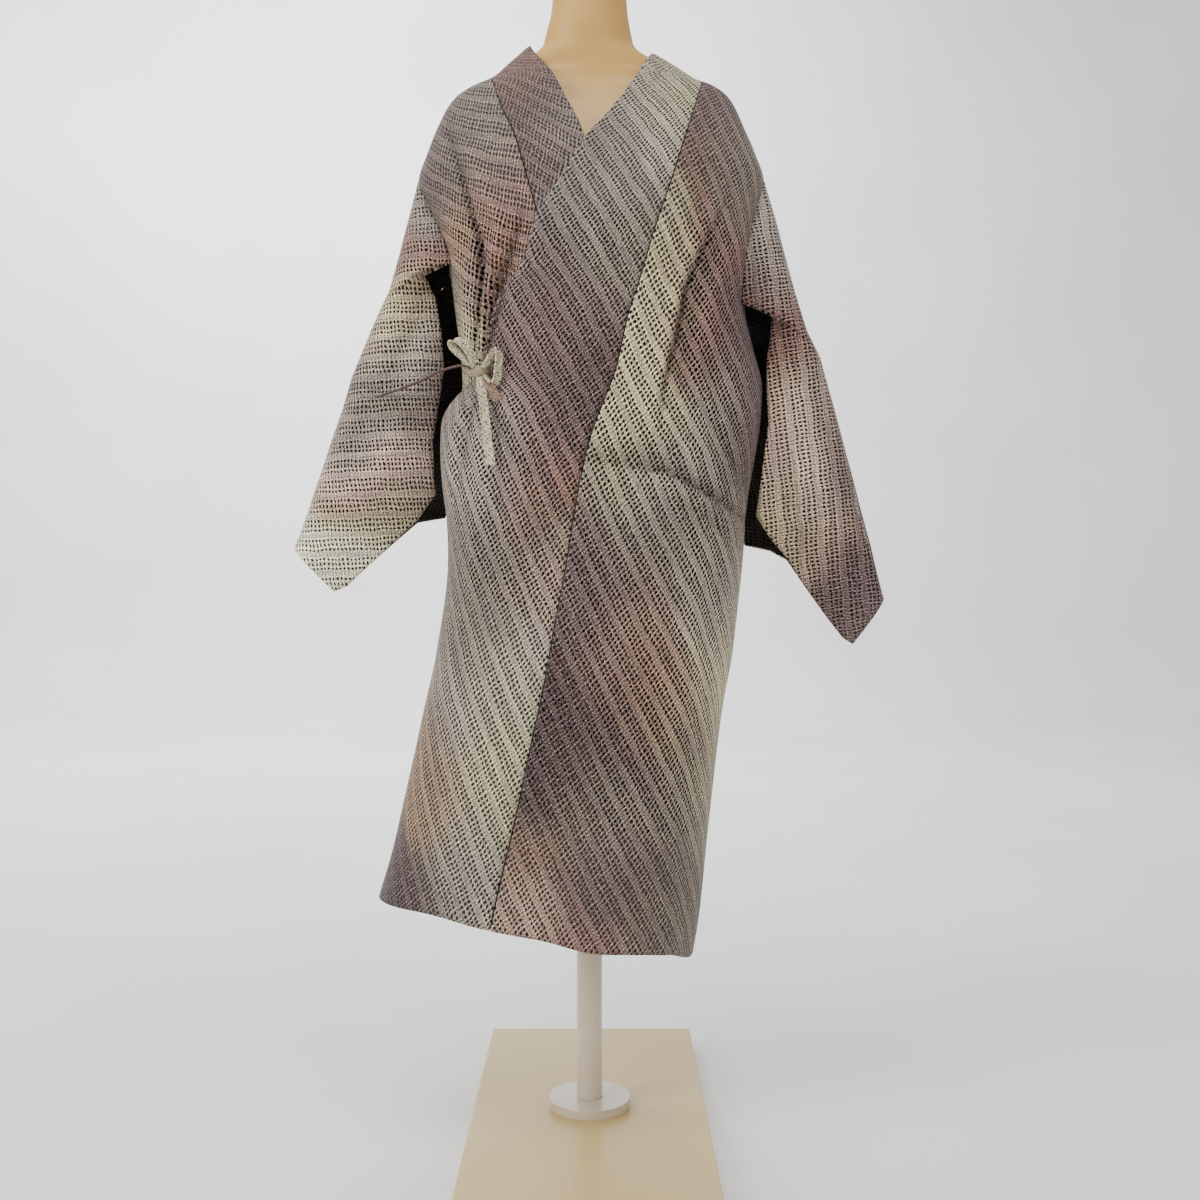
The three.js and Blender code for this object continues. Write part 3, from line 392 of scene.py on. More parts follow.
# %% Dye clouds: (x, height, reach across, reach down, dye), in mm
DYE_CLOUDS = {
    "band_left": [
        (95, 1120, 30, 60, "moss"), (55, 1130, 22, 40, "greige"), (68, 1060, 32, 60, "ash"),
        (60, 990, 20, 40, "greige"), (52, 1028, 20, 26, "ash"),
        (20, 1040, 30, 50, "umber"), (-20, 960, 40, 50, "grey"), (30, 900, 30, 60, "greige"),
        (0, 830, 40, 60, "plum"), (-8, 806, 40, 56, "deep"), (4, 812, 20, 26, "deep"), (-60, 860, 30, 50, "plum"),
        (-45, 940, 30, 40, "mauve"),
        (-70, 760, 34, 40, "plum"), (-50, 720, 30, 30, "pink"), (-120, 720, 40, 50, "fog"),
        (-35, 690, 30, 30, "rust"),
        (-100, 630, 44, 54, "umber"), (-46, 596, 26, 30, "blush"), (-130, 560, 40, 40, "greige"),
        (-140, 470, 26, 44, "fog"), (-158, 438, 16, 26, "greige"), (-80, 450, 30, 60, "sage"),
        (-60, 500, 26, 50, "fog"), (-166, 410, 26, 50, "tan"),
        (-100, 370, 30, 50, "sage"), (-195, 290, 40, 40, "deep"), (-118, 286, 36, 44, "fog"),
        (-122, 278, 18, 22, "greige"),
    ],
    "body_left": [
        (140, 1110, 30, 50, "mauve"), (165, 1050, 30, 50, "greige"), (95, 1040, 25, 40, "rust"),
        (130, 960, 40, 40, "pink"), (76, 935, 24, 60, "sage"), (80, 985, 18, 34, "moss"), (50, 860, 24, 70, "cream"),
        (112, 860, 24, 60, "pink"), (155, 860, 30, 60, "mauve"), (84, 776, 32, 40, "sage"),
        (60, 738, 60, 16, "umber"), (132, 776, 28, 30, "fog"),
        (160, 760, 30, 40, "mauve"), (30, 740, 34, 40, "sage"), (100, 710, 50, 30, "fog"),
        (140, 670, 40, 40, "greige"), (30, 670, 40, 40, "greige"), (80, 620, 50, 40, "greige"),
        (0, 590, 30, 50, "mauve"), (130, 590, 34, 60, "fog"), (56, 532, 44, 50, "pink"), (84, 500, 30, 50, "tan"),
        (46, 536, 22, 28, "blush"),
        (-30, 480, 34, 60, "deep"), (60, 430, 50, 34, "mauve"), (126, 480, 28, 84, "cream"),
        (-50, 400, 34, 60, "deep"), (30, 370, 50, 40, "greige"), (-66, 330, 34, 34, "tan"),
        (90, 350, 40, 50, "greige"), (20, 300, 50, 40, "mauve"), (90, 260, 40, 40, "umber"),
        (-60, 260, 34, 30, "blush"), (0, 250, 34, 24, "pink"),
    ],
    "body_right": [
        (-125, 1110, 30, 50, "umber"), (-150, 1066, 30, 54, "mauve"), (-110, 1044, 30, 40, "umber"),
        (-90, 960, 24, 60, "pink"), (-100, 900, 20, 50, "rust"), (-140, 970, 20, 40, "tan"),
        (-130, 910, 24, 30, "greige"),
        (-122, 860, 24, 40, "sage"), (-150, 700, 40, 80, "greige"), (-100, 500, 60, 90, "grey"),
    ],
    "band_right": [
        (-75, 1150, 30, 40, "rust"), (-58, 1108, 42, 56, "deep"), (-20, 1085, 26, 30, "greige"),
        (-60, 1040, 30, 40, "mauve"),
        (0, 900, 60, 80, "greige"), (40, 600, 60, 120, "mauve"),
    ],
    "collar_back": [(0, 1140, 60, 60, "mauve"), (90, 1150, 30, 40, "cream"), (-90, 1160, 30, 40, "pink")],
    "sleeve_right": [
        # The first three clouds, narrow and dark along the inner edge beside the gap to the body, are painted shade.
        (-174, 905, 11, 26, "deep"), (-160, 850, 11, 44, "deep"), (-158, 792, 11, 40, "mauve"),
        (-190, 1010, 30, 40, "grey"), (-200, 960, 30, 24, "pink"), (-184, 955, 32, 28, "pink"),
        (-202, 908, 30, 26, "sage"),
        (-235, 880, 40, 30, "sand"), (-190, 850, 30, 30, "fog"), (-240, 820, 50, 30, "grey"),
        (-240, 790, 50, 20, "greige"),
        (-200, 760, 40, 26, "greige"), (-250, 760, 40, 24, "fog"), (-250, 722, 60, 24, "rose"),
        (-270, 696, 60, 18, "blush"),
        (-250, 675, 60, 18, "sage"), (-290, 640, 50, 24, "pale"), (-300, 610, 50, 24, "pale"),
        (-180, 690, 30, 30, "greige"),
    ],
    "sleeve_left": [
        (200, 1020, 30, 40, "ash"), (215, 960, 30, 40, "fog"), (190, 930, 20, 30, "mauve"),
        (235, 915, 24, 24, "pink"),
        (212, 888, 40, 30, "rust"), (206, 884, 22, 20, "mauve"), (213, 862, 46, 42, "rust"),
        (215, 806, 26, 40, "sand"), (245, 800, 24, 50, "fog"), (270, 790, 16, 60, "pink"),
        (215, 745, 34, 60, "rose"), (250, 730, 24, 50, "fog"), (280, 710, 16, 50, "mauve"),
        (205, 670, 30, 40, "sage"),
        (255, 660, 30, 34, "blush"), (300, 650, 20, 40, "mauve"), (280, 600, 34, 30, "mauve"),
        (300, 560, 34, 30, "mauve"),
    ],
}
print("dye clouds:", sum(len(rows) for rows in DYE_CLOUDS.values()))

# %% Folds of the sleeves, in the same columns as those of the body
SLEEVE_FOLDS = {
    -1: [
        (7, 3.0, [(-166, 960), (-182, 935), (-205, 915), (-222, 890)]),
        (9, -2.4, [(-176, 930), (-190, 880), (-214, 830), (-240, 770)]),
        (10, 2.4, [(-172, 880), (-188, 820), (-210, 760), (-236, 700)]),
        (9, -2.0, [(-230, 830), (-250, 770), (-272, 720)]),
    ],
    1: [
        (8, 3.0, [(182, 920), (200, 905), (222, 880), (240, 850)]),
        (10, 2.6, [(206, 860), (222, 790), (240, 720), (258, 650)]),
        (9, -2.6, [(230, 850), (246, 790), (262, 730), (276, 670)]),
        (9, -2.0, [(204, 760), (214, 700), (234, 650)]),
    ],
}


print("folds on each sleeve:", [len(rows) for rows in SLEEVE_FOLDS.values()])


# %% Mixing the clouds, and painted shade and highlight in the folds
# Painted highlight per mm of ridge and painted shade per mm of trough, with the limits of both.
PAINTED_RIDGE_LIGHT, PAINTED_TROUGH_SHADE, DARKEST, LIGHTEST = 0.05, 0.10, 0.30, 1.3
GROUND = 0.02  # share of plain greige under all clouds


def dye_with_fold_shade(grid, kind):
    x, y, z = np.moveaxis(grid, -1, 0)
    total = np.zeros(x.shape + (1,)) + GROUND
    mixed = np.zeros(x.shape + (3,)) + GROUND * np.array(DYES["greige"])
    wobble = 14 * np.sin(z / 37 + x / 23) + 9 * np.sin(x / 17 - z / 51)
    behind = np.where(y > 0, 30.0, 0.0)
    for cx, cz, rx, rz, dye in DYE_CLOUDS[kind]:
        beside = (x - cx + 0.5 * wobble) / (1.15 * rx)
        above = (z - cz + wobble + behind) / (1.1 * rz)
        near = np.exp(-(beside**2 + above**2))
        total += near[..., None]
        mixed += near[..., None] * np.array(DYES[dye])
    return mixed / total * painted_fold_shade(kind, x, y, z)[..., None]


def painted_fold_shade(kind, x, y, z):
    """Painted shade and highlight: the colour is a little darker down in a trough and lighter along a ridge."""
    if kind.startswith("sleeve"):
        ridges, troughs = fold_rise(x, z, SLEEVE_FOLDS[1 if kind.endswith("left") else -1])
    else:
        ridges, troughs = fold_rise(x, z, FOLDS["top" if kind.endswith("left") else "under"])
        back = fold_rise(x, z, FOLDS["back"])
        ridges, troughs = np.where(y < 0, ridges, back[0]), np.where(y < 0, troughs, back[1])
    return np.clip(1 + PAINTED_RIDGE_LIGHT * ridges + PAINTED_TROUGH_SHADE * troughs, DARKEST, LIGHTEST)


def edge_distance(grid):
    """Distance in mm of each point to the sheet's nearest free edge, measured along its rows and columns."""
    across, down = lengths_along(grid, 1), lengths_along(grid, 0)
    return np.minimum(np.minimum(across, across[:, -1:] - across), np.minimum(down, down[-1:, :] - down))


print("greige with a trough 5 mm deep:", np.round((1 - 5 * PAINTED_TROUGH_SHADE) * np.array(DYES["greige"]), 3))

# %% [markdown]
# Each half of the body is one length of cloth from the front hem over the shoulder to the back hem. Its grid has a
# column at each armhole edge and one on the side line, so that the armhole can be left open and the side seam slit
# by taking faces away. The top front also lifts a little where the lower front lies under it.

# %% Body halves
HALF = math.pi / 2
SEAM_SLIP, SEAM_GAP = 0.2 / 105, 0.004  # turns in radians
ARMHOLE_TURN, ARMHOLE_WIDENS = 0.12, 0.2
CORNER_DROP, LOWER_HEM_RISE, HEM_GUESS = 3.0, 5.0, 220.0
FRONT_COLUMNS = {True: 120, False: 96}
# Holes are painted near-black instead of open from here down, as a share of the rows, and behind from this share of
# the front's columns: painted shadow for the dark seen through them.
HEM_SHADOW_HOLES_FROM, BACK_SHADOW_HOLES_FROM = 0.83, 0.62


def armhole_turn(z):
    """Half the armhole's width as a turn: it opens downwards."""
    return ARMHOLE_TURN + ARMHOLE_WIDENS * smooth((ARMHOLE_TOP - z) / 90)


def nape_height(turn, at_shoulder, at_nape):
    return at_shoulder + (at_nape - at_shoulder) * smooth((np.abs(turn) - HALF) / HALF * 1.15)


def hem_row(turn_of, top, extra=0.0):
    """Hem height for every column, found by stepping to where the column meets the hem line."""
    height = HEM_GUESS
    for _ in range(5):
        phi = turn_of(height)
        x = ring(phi, height + 0 * phi, top)[..., 0]
        corner = CORNER_DROP * top * smooth((np.abs(np.sin(phi)) - 0.7) / 0.3)
        height = np.where(np.cos(phi) >= 0, hem_front(x), hem_back(x)) + extra - corner
    return height


def body_half(side, band_turn, shift):
    top = side > 0
    seam = top_seam if top else under_seam
    front, strip, back = FRONT_COLUMNS[top], 4, 54
    knots = (0, front, front + strip, front + 2 * strip, front + 2 * strip + back)
    row_knots = (0, 18, 28, 28 + (24 if top else 16), 60, 170)

    def turn(col, z):
        start = np.minimum(side * turn_at(z, np.minimum(seam(z), section["right"](z)), top) + SEAM_GAP, HALF)
        gap = armhole_turn(z)
        values = (start, np.maximum(HALF - gap, start), HALF, HALF + gap, math.pi - SEAM_SLIP)
        return side * piecewise(col, knots, values)

    def place(col, row, folded):
        behind = turn(col, NAPE_JOIN - 2)
        over = np.abs(behind) - HALF > 1e-6
        first = np.where(over, nape_height(behind, JOIN[side], NAPE_JOIN), JOIN[side]) - TOP_CLEAR
        last = hem_row(lambda h: turn(col, h + 0 * col), top)
        z = piecewise(row, row_knots, (first, CHEST, ARMHOLE_TOP, ARMPIT[side], WAIST, last))
        return body_point(turn(col, z), z, top, folded)

    def gone(r, c):
        return row_knots[2] <= r < row_knots[3] and knots[1] <= c < knots[3]

    def slit(r, c):
        return c == knots[2] and r >= row_knots[3]

    def shadowed_holes(col, row):
        behind = smooth((col / front - BACK_SHADOW_HOLES_FROM) * 5)
        return np.maximum(behind, smooth((row - HEM_SHADOW_HOLES_FROM * row_knots[-1]) / 6))

    def measure(grid, across, down):
        return grid[:, 0:1, 0] + side * across, down

    kind = "body_left" if top else "body_right"
    return cloth(kind, knots[-1], row_knots[-1], place, band_turn, measure, gone, slit, shift=shift, shadowed_holes=shadowed_holes)


coat = {}
coat["body_left"] = body_half(1, 62, (0, 0))
coat["body_right"] = body_half(-1, 31, (7, 3))

# %% [markdown]
# The front bands are the coat's collar and front gore in one strip. It starts narrow at the shoulder and widens
# to the hem. The top one's free edge leaves the neck, crosses to the wearer's right, is held by the tie and then
# runs down the silhouette as a single layer. The strip behind the neck joins both.


# %% Front bands and the strip behind the neck
def front_band(side, band_turn, shift):
    top = side > 0
    seam, edge = (top_seam, top_edge) if top else (under_seam, under_edge)
    cols = 40
    row_knots = (0, 10, 26, 34, 54, 64, 150)

    def turn(col, z):
        outer = np.where(z >= JOIN[side], HALF, side * turn_at(z, seam(z), top) - SEAM_GAP)
        inner = side * turn_at(z, edge(z), top)
        if top:
            inner = inner + (-HALF + 0.1 - inner) * smooth((826 - z) / 48)
        inner = np.minimum(inner, outer)
        return side * (inner + (outer - inner) * col / cols)

    def place(col, row, folded):
        last = hem_row(lambda h: turn(col, h + 0 * col), top, 0.0 if top else LOWER_HEM_RISE)
        z = piecewise(row, row_knots, (NECK[side], JOIN[side], CHEST, ARMHOLE_TOP, ARMPIT[1], WAIST, last))
        return body_point(turn(col, z), z, top, folded)

    def measure(grid, across, down):
        return grid[:, -1:, 0] - side * (across[:, -1:] - across), down

    def shadowed_holes(col, row):
        # Below the waist the top band hangs alone near its free edge, and light would come through its holes from
        # behind: there they are painted near-black, as painted shadow.
        shadow_hole_columns = 22 + 40 * smooth((row - 96) / 12)
        alone = top * smooth((row - 70) / 20) * smooth((shadow_hole_columns - col) / 5)
        return np.maximum(alone, smooth((row - HEM_SHADOW_HOLES_FROM * row_knots[-1]) / 5))

    kind = "band_left" if top else "band_right"
    return cloth(kind, cols, row_knots[-1], place, band_turn, measure, shift=shift, shadowed_holes=shadowed_holes)


def nape_strip():
    cols, rows = 90, 16

    def place(col, row, folded):
        phi = HALF + (math.pi * col) / cols
        left = phi < math.pi
        turned = np.where(left, phi, 2 * math.pi - phi)
        bottom = nape_height(turned, np.where(left, JOIN[1], JOIN[-1]), NAPE_JOIN) + 0.5
        upper = nape_height(turned, np.where(left, NECK[1], NECK[-1]), NAPE_TOP)
        return body_point(phi, upper + (bottom - upper) * row / rows, False, folded)

    return cloth("collar_back", cols, rows, place, 20, lambda grid, across, down: (across, down))


coat["band_left"] = front_band(1, 64, (3, 9))
coat["band_right"] = front_band(-1, 30, (1, 5))
coat["collar_back"] = nape_strip()

# %% [markdown]
# A sleeve is a flat bag: one length of cloth goes from the body-side edge in front over the outer fold to the
# body-side edge behind. It hangs from the armhole, is open towards the body below the armpit and at the wrist, and
# its lower edge is sewn. Each row below gives where that length crosses: front edge, back edge, outer fold.

# %% Sleeve rows: front edge x y z, back edge x y z, outer fold x z, fullness
SLEEVE_ROWS = {
    -1: [
        (-178, -24, 936, -141, 66, 922, -229, 905, 12), (-166, -28, 911, -139, 68, 890, -241, 879, 13),
        (-160, -28, 875, -140, 68, 855, -252, 853, 14), (-157, -27, 836, -142, 68, 815, -262, 829, 15),
        (-163, -26, 796, -148, 68, 775, -272, 795, 15), (-170, -24, 757, -152, 64, 735, -284, 761, 15),
        (-169, -21, 714, -157, 54, 700, -300, 714, 14), (-168, -14, 700, -164, 38, 677, -309, 688, 13),
        (-190, -2, 672, -190, 3, 670, -315, 671, 13), (-211, -2, 653, -211, 2, 652, -319, 659, 13),
        (-244, -2, 623, -244, 2, 623, -323, 650, 13), (-268, -2, 600, -268, 2, 600, -325, 645, 13),
        (-282, -2, 594, -282, 2, 594, -326, 641, 13),
    ],
    1: [
        (198, -24, 893, 168, 68, 880, 254, 850, 12), (196, -28, 872, 167, 70, 850, 261, 825, 13),
        (192, -28, 845, 168, 72, 820, 269, 797, 14), (192, -27, 814, 168, 72, 785, 278, 764, 15),
        (194, -26, 775, 168, 70, 745, 288, 727, 15), (187, -23, 719, 168, 64, 700, 300, 682, 15),
        (182, -16, 676, 176, 42, 646, 311, 643, 14), (201, -3, 650, 200, 8, 639, 315, 626, 13),
        (218, -2, 631, 218, 3, 629, 318, 613, 13), (239, -2, 598, 239, 2, 598, 321, 602, 13),
        (262, -2, 566, 262, 2, 566, 323, 594, 13), (280, -2, 543, 280, 2, 543, 324, 590, 13),
        (291, -2, 536, 291, 2, 536, 325, 587, 13),
    ],
}
print("sleeve rows:", [len(rows) for rows in SLEEVE_ROWS.values()])

# %% Sleeves
ARMHOLE_ROWS = {-1: (1043, 1010, 978, 947), 1: (1043, 1010, 978, 947, 904)}
OUTER_FOLD = {
    -1: curve_through([(1043, -189), (1010, -199), (978, -210), (947, -221)]),
    1: curve_through([(1043, 193), (1010, 204), (978, 214), (947, 225), (904, 240)]),
}
FOLD_DROP, CUFF_SLIT_ROWS, SLEEVE_TUCK = 26.0, 8, 1.7
# The sleeve's holes are painted near-black, as painted shadow, from these shares of its columns (its back half) and
# of its rows (its tip).
SLEEVE_SHADOW_HOLES_FROM, SLEEVE_TIP_SHADOW_HOLES_FROM = 0.37, 0.84  # shares of its columns and rows


def sleeve_chain(side):
    """Rows beside the armhole, worked out from the body so that the sleeve meets it, and then the table's rows."""
    rows = []
    heights = ARMHOLE_ROWS[side]
    for k, z in enumerate(heights):
        gap = armhole_turn(z)
        f, b = (body_point(np.array([side * (HALF + s * gap)]), np.array([float(z)]), side > 0)[0] for s in (-1, 1))
        drop = FOLD_DROP * smooth(k / (len(heights) - 1)) if k else 0.6
        tuck = smooth(k / 2)
        step = np.array([side * (0.1 - 1.3 * tuck), SLEEVE_TUCK * tuck, 0.0 if k else -0.5])
        rows.append([*(f + step), *(b + step * (1, -1, 1)), OUTER_FOLD[side](z), z - drop, 12 * tuck])
    return np.array(rows + [list(r) for r in SLEEVE_ROWS[side]], dtype=float)


def sleeve(side, band_turn, shift, folds):
    chain = sleeve_chain(side)
    last = len(chain) - 1
    per_row, cols = 8, 72
    rows = last * per_row

    def place(col, row, folded):
        t = row / per_row
        i = np.clip(np.floor(t).astype(int), 0, last - 1)
        w = (t - i)[..., None]
        r = chain[i] * (1 - w) + chain[i + 1] * w
        turn = math.pi * col / cols
        s, c, front = np.sin(turn), np.abs(np.cos(turn)), turn < HALF
        inner_x, inner_y, inner_z = np.moveaxis(np.where(front[..., None], r[..., 0:3], r[..., 3:6]), -1, 0)
        x = inner_x + (r[..., 6] - inner_x) * s
        z = inner_z + (r[..., 7] - inner_z) * s
        y = inner_y * c - r[..., 8] * np.sin(2 * turn)
        ease = smooth(np.abs(y) / 12)
        if folded:
            y = y - np.where(front, 1, -1) * sum(fold_rise(x, z, folds)) * ease
        return np.stack([x, y, z], axis=-1)

    cut = (last - CUFF_SLIT_ROWS) * per_row

    def gone(r, c):
        return r >= cut and cols / 2 <= c < cols / 2 + 3

    def shadowed_holes(col, row):
        tip = smooth((row / rows - SLEEVE_TIP_SHADOW_HOLES_FROM) * 12)
        return np.maximum(smooth((col / cols - SLEEVE_SHADOW_HOLES_FROM) * 8), tip)

    def measure(grid, across, down):
        # A hanging bag keeps its weft level, so only level steps count along it and only height counts down it.
        level = grid * (1, 1, 0)
        return grid[:, 0:1, 0] + side * lengths_along(level, 1), grid[..., 2]

    kind = "sleeve_left" if side > 0 else "sleeve_right"
    return cloth(kind, cols, rows, place, band_turn, measure, gone, shift=shift, lean=0.08, shadowed_holes=shadowed_holes)


coat["sleeve_right"] = sleeve(-1, -2, (2, 4), SLEEVE_FOLDS[-1])
coat["sleeve_left"] = sleeve(1, 83, (5, 2), SLEEVE_FOLDS[1])

# %% [markdown]
# The tie is a narrow tube of the coat's own cloth, pressed flat and knotted at the wearer's right. A loop of such a
# tube keeps its edges parallel, so each run here sweeps one straight cross line along its path: the band then shows
# its face where the path turns away and its edge where it comes back, as the real loops do.

# %% Tie ribbons
def line_through(points, steps):
    """Points along a smooth line through the given ones."""
    p = np.array(points, dtype=float)
    p = np.vstack([2 * p[0] - p[1], p, 2 * p[-1] - p[-2]])
    out = []
    for i in range(1, len(p) - 2):
        for k in range(steps):
            t = k / steps
            out.append(0.5 * (2 * p[i] + (p[i + 1] - p[i - 1]) * t
                              + (2 * p[i - 1] - 5 * p[i] + 4 * p[i + 1] - p[i + 2]) * t * t
                              + (3 * p[i] - p[i - 1] - 3 * p[i + 1] + p[i + 2]) * t**3))
    out.append(p[-2])
    return np.array(out)


# %% Runs of the tie
KNOT = np.array([-113.0, -86.8, 822.0])
KNOT_SIZE = np.array([10.0, 6.5, 8.0])
# Each run: width, thickness, cross line, then its path from the knot's middle.
RIBBON_RUNS = {
    "tie_loop_upper": (10.0, 1.8, (0.66, 0.62, 0.42), [
        (-6, -3, 5), (-15, -6, 13), (-23, -9, 20), (-28, -10, 26), (-27, -10, 31), (-21, -10, 31), (-14, -8, 25),
        (-8, -7, 16), (-4, -6, 8)]),
    "tie_loop_side": (10.0, 1.8, (0.60, 0.74, -0.30), [
        (4, -4, 4), (10, -9, 11), (17, -12, 19), (20, -13, 20), (21, -13, 12), (20, -12, 0), (18, -11, -11),
        (13, -9, -13), (7, -6, -6)]),
    "tie_tail_long": (9.5, 1.6, (1.0, 0.1, 0.12), [
        (0, -6, -6), (3, -10, -22), (6, -12, -45), (9, -15, -70), (13, -20, -98)]),
    "tie_tail_side": (9.0, 1.4, (0.1, 1.0, 0.1), [
        (-9, -2, 3), (-22, 0, 6), (-45, 14, 2), (-66, 30, -5), (-90, 41, -12), (-114, 44, -20)]),
    "tie_end_short": (9.0, 1.6, (0.86, 0.3, 0.42), [(4, -6, -6), (10, -10, -14), (15, -12, -22), (20, -13, -32)]),
}


print("runs of ribbon:", len(RIBBON_RUNS))


# %% Ribbons and knot
def ribbon(run, width, thick, cross, points):
    line = line_through([KNOT + np.array(p) for p in points], 8)
    along = np.gradient(line, axis=0)
    along /= np.linalg.norm(along, axis=1, keepdims=True)
    cross = np.array(cross) / np.linalg.norm(cross)
    across = cross - along * (along @ cross)[:, None] * 0.5
    across /= np.linalg.norm(across, axis=1, keepdims=True)
    up = np.cross(across, along)
    rows, cols = len(line) - 1, 8
    length = np.concatenate([[0], np.cumsum(np.linalg.norm(np.diff(line, axis=0), axis=1))])
    bm = bmesh.new()
    bmesh.ops.create_grid(bm, x_segments=cols, y_segments=rows, size=1.0)
    bm.verts.index_update()
    uv_layer = bm.loops.layers.uv.new("Cloth")
    place = {v.index: (v.co.x, round((1 - v.co.y) / 2 * rows)) for v in bm.verts}
    for vert in bm.verts:
        s, r = place[vert.index]
        pinch = 0.62 + 0.38 * float(smooth(length[r] / 14))
        wave = 0.5 * math.sin(length[r] / 5.5) + 0.3 * math.sin(length[r] / 2.7 + 4 * s)
        bow = 0.9 * (1 - s * s)
        vert.co = Vector(line[r] + across[r] * s * pinch * width / 2 + up[r] * (bow + 0.35 * wave)) * MM
    for face in bm.faces:
        for loop in face.loops:
            s, r = place[loop.vert.index]
            loop[uv_layer].uv = ((s + 1) * width / 2 * MM, length[r] * MM)
    bm.normal_update()
    piece = finish_mesh("coat_" + run, bm, thick)
    piece.modifiers["cloth thickness"].offset = 0.0
    soft = piece.modifiers.new("soft edges", "BEVEL")
    soft.width, soft.segments = 0.35 * MM, 2
    hand_over(piece, None if run == "tie_end_short" else run)
    print(f"{run}: {length[-1]:.0f} mm long, {width:.0f} mm wide")
    return piece, length[-1]


ribbons = {run: ribbon(run, *sizes) for run, sizes in RIBBON_RUNS.items()}


def tie_knot():
    bm = bmesh.new()
    bmesh.ops.create_uvsphere(bm, u_segments=36, v_segments=24, radius=1.0)
    for vert in bm.verts:
        n = vert.co.normalized()
        wrap = 1 + 0.09 * math.sin(7 * n.x + 5 * n.z) + 0.05 * math.sin(11 * n.z - 3 * n.x)
        vert.co = Vector(KNOT + KNOT_SIZE * np.array(n) * min(1.04, wrap)) * MM
    piece = finish_mesh("coat_tie_knot", bm)
    hand_over(piece, "tie_knot")
    return piece


knot = tie_knot()

# %% [markdown]
# The form is a limbless torso, moulded as one shell with its neck. Its rings are ovals below, follow the coat's own
# section under the shoulders so that the cloth has something to rest on, and close to an upright neck. The rings
# are few and far apart, so each of their points is led through them on a smooth line.

# %% Dress form
FORM_RINGS = [
    (505, 30, 30, 30), (508, 96, 70, 74), (520, 106, 80, 84), (600, 116, 88, 90), (700, 108, 84, 82),
    (800, 96, 76, 70), (900, 104, 84, 72), (980, 116, 90, 76), (1050, 132, 80, 74), (1095, 150, 60, 66),
]
SHOULDER_RINGS = [(1118, 6.5), (1130, 5.5), (1140, 4.5), (1150, 5.7), (1158, 3.4), (1165, 2.4)]
THROAT = curve_through([(1095, 60), (1118, 50), (1140, 43), (1165, 39.5), (1190, 39), (1206, 40)])
NECK_RINGS = [
    (1178, 68, 39, 42), (1190, 52, 39, 44), (1206, 47, 40, 44), (1230, 42, 39, 41), (1262, 40, 39, 39),
]


def form_rings(turn):
    def oval(z, half, front, back, x=0.0):
        depth = np.where(np.cos(turn) > 0, front, back)
        return np.stack([x + half * np.sin(turn), -depth * np.cos(turn), z + 0 * turn], axis=-1)

    rings = [oval(*row) for row in FORM_RINGS]
    for z, inset in SHOULDER_RINGS:
        at = z + 0 * turn
        p = ring(turn, at) - outward(ring, turn, at) * inset
        p[:, 1] *= 1 - 0.34 * np.abs(np.cos(turn))
        p[:, 1] -= (float(THROAT(z)) + p[0, 1]) * np.maximum(np.cos(turn), 0) ** 6
        rings.append(p)
    return np.array(rings + [oval(*row, x=-1.0 if row[0] < 1230 else 0.0) for row in NECK_RINGS])


def dress_form():
    cols, per_ring = 96, 6
    rings = form_rings(np.linspace(0, 2 * math.pi, cols + 1))
    rows = (len(rings) - 1) * per_ring
    bm = bmesh.new()
    bmesh.ops.create_grid(bm, x_segments=cols, y_segments=rows, size=1.0)
    for vert in bm.verts:
        c, t = round((vert.co.x + 1) / 2 * cols), (vert.co.y + 1) / 2 * rows / per_ring
        i = min(int(t), len(rings) - 2)
        w = t - i
        a, b = rings[i, c], rings[i + 1, c]
        before = (b - rings[i - 1, c]) / 2 if i else b - a
        after = (rings[i + 2, c] - a) / 2 if i + 2 < len(rings) else b - a
        steepest = np.maximum(np.maximum(np.abs(before), np.abs(after)), 1e-6)
        small = np.minimum(1.0, 2.2 * np.abs(b - a) / steepest)
        vert.co = Vector(cubic(w, a, b, before * small, after * small)) * MM
    bmesh.ops.remove_doubles(bm, verts=bm.verts[:], dist=1e-5)
    bmesh.ops.holes_fill(bm, edges=[e for e in bm.edges if e.is_boundary], sides=0)
    bmesh.ops.recalc_face_normals(bm, faces=bm.faces[:])
    piece = finish_mesh("dress_form_torso", bm)
    hand_over(piece, "form_torso")
    print("form:", len(piece.data.polygons), "faces")
    return piece


torso = dress_form()

# %% [markdown]

# %% Count of the cloth sheets
print("declared sheets:", len(coat) + len(ribbons))
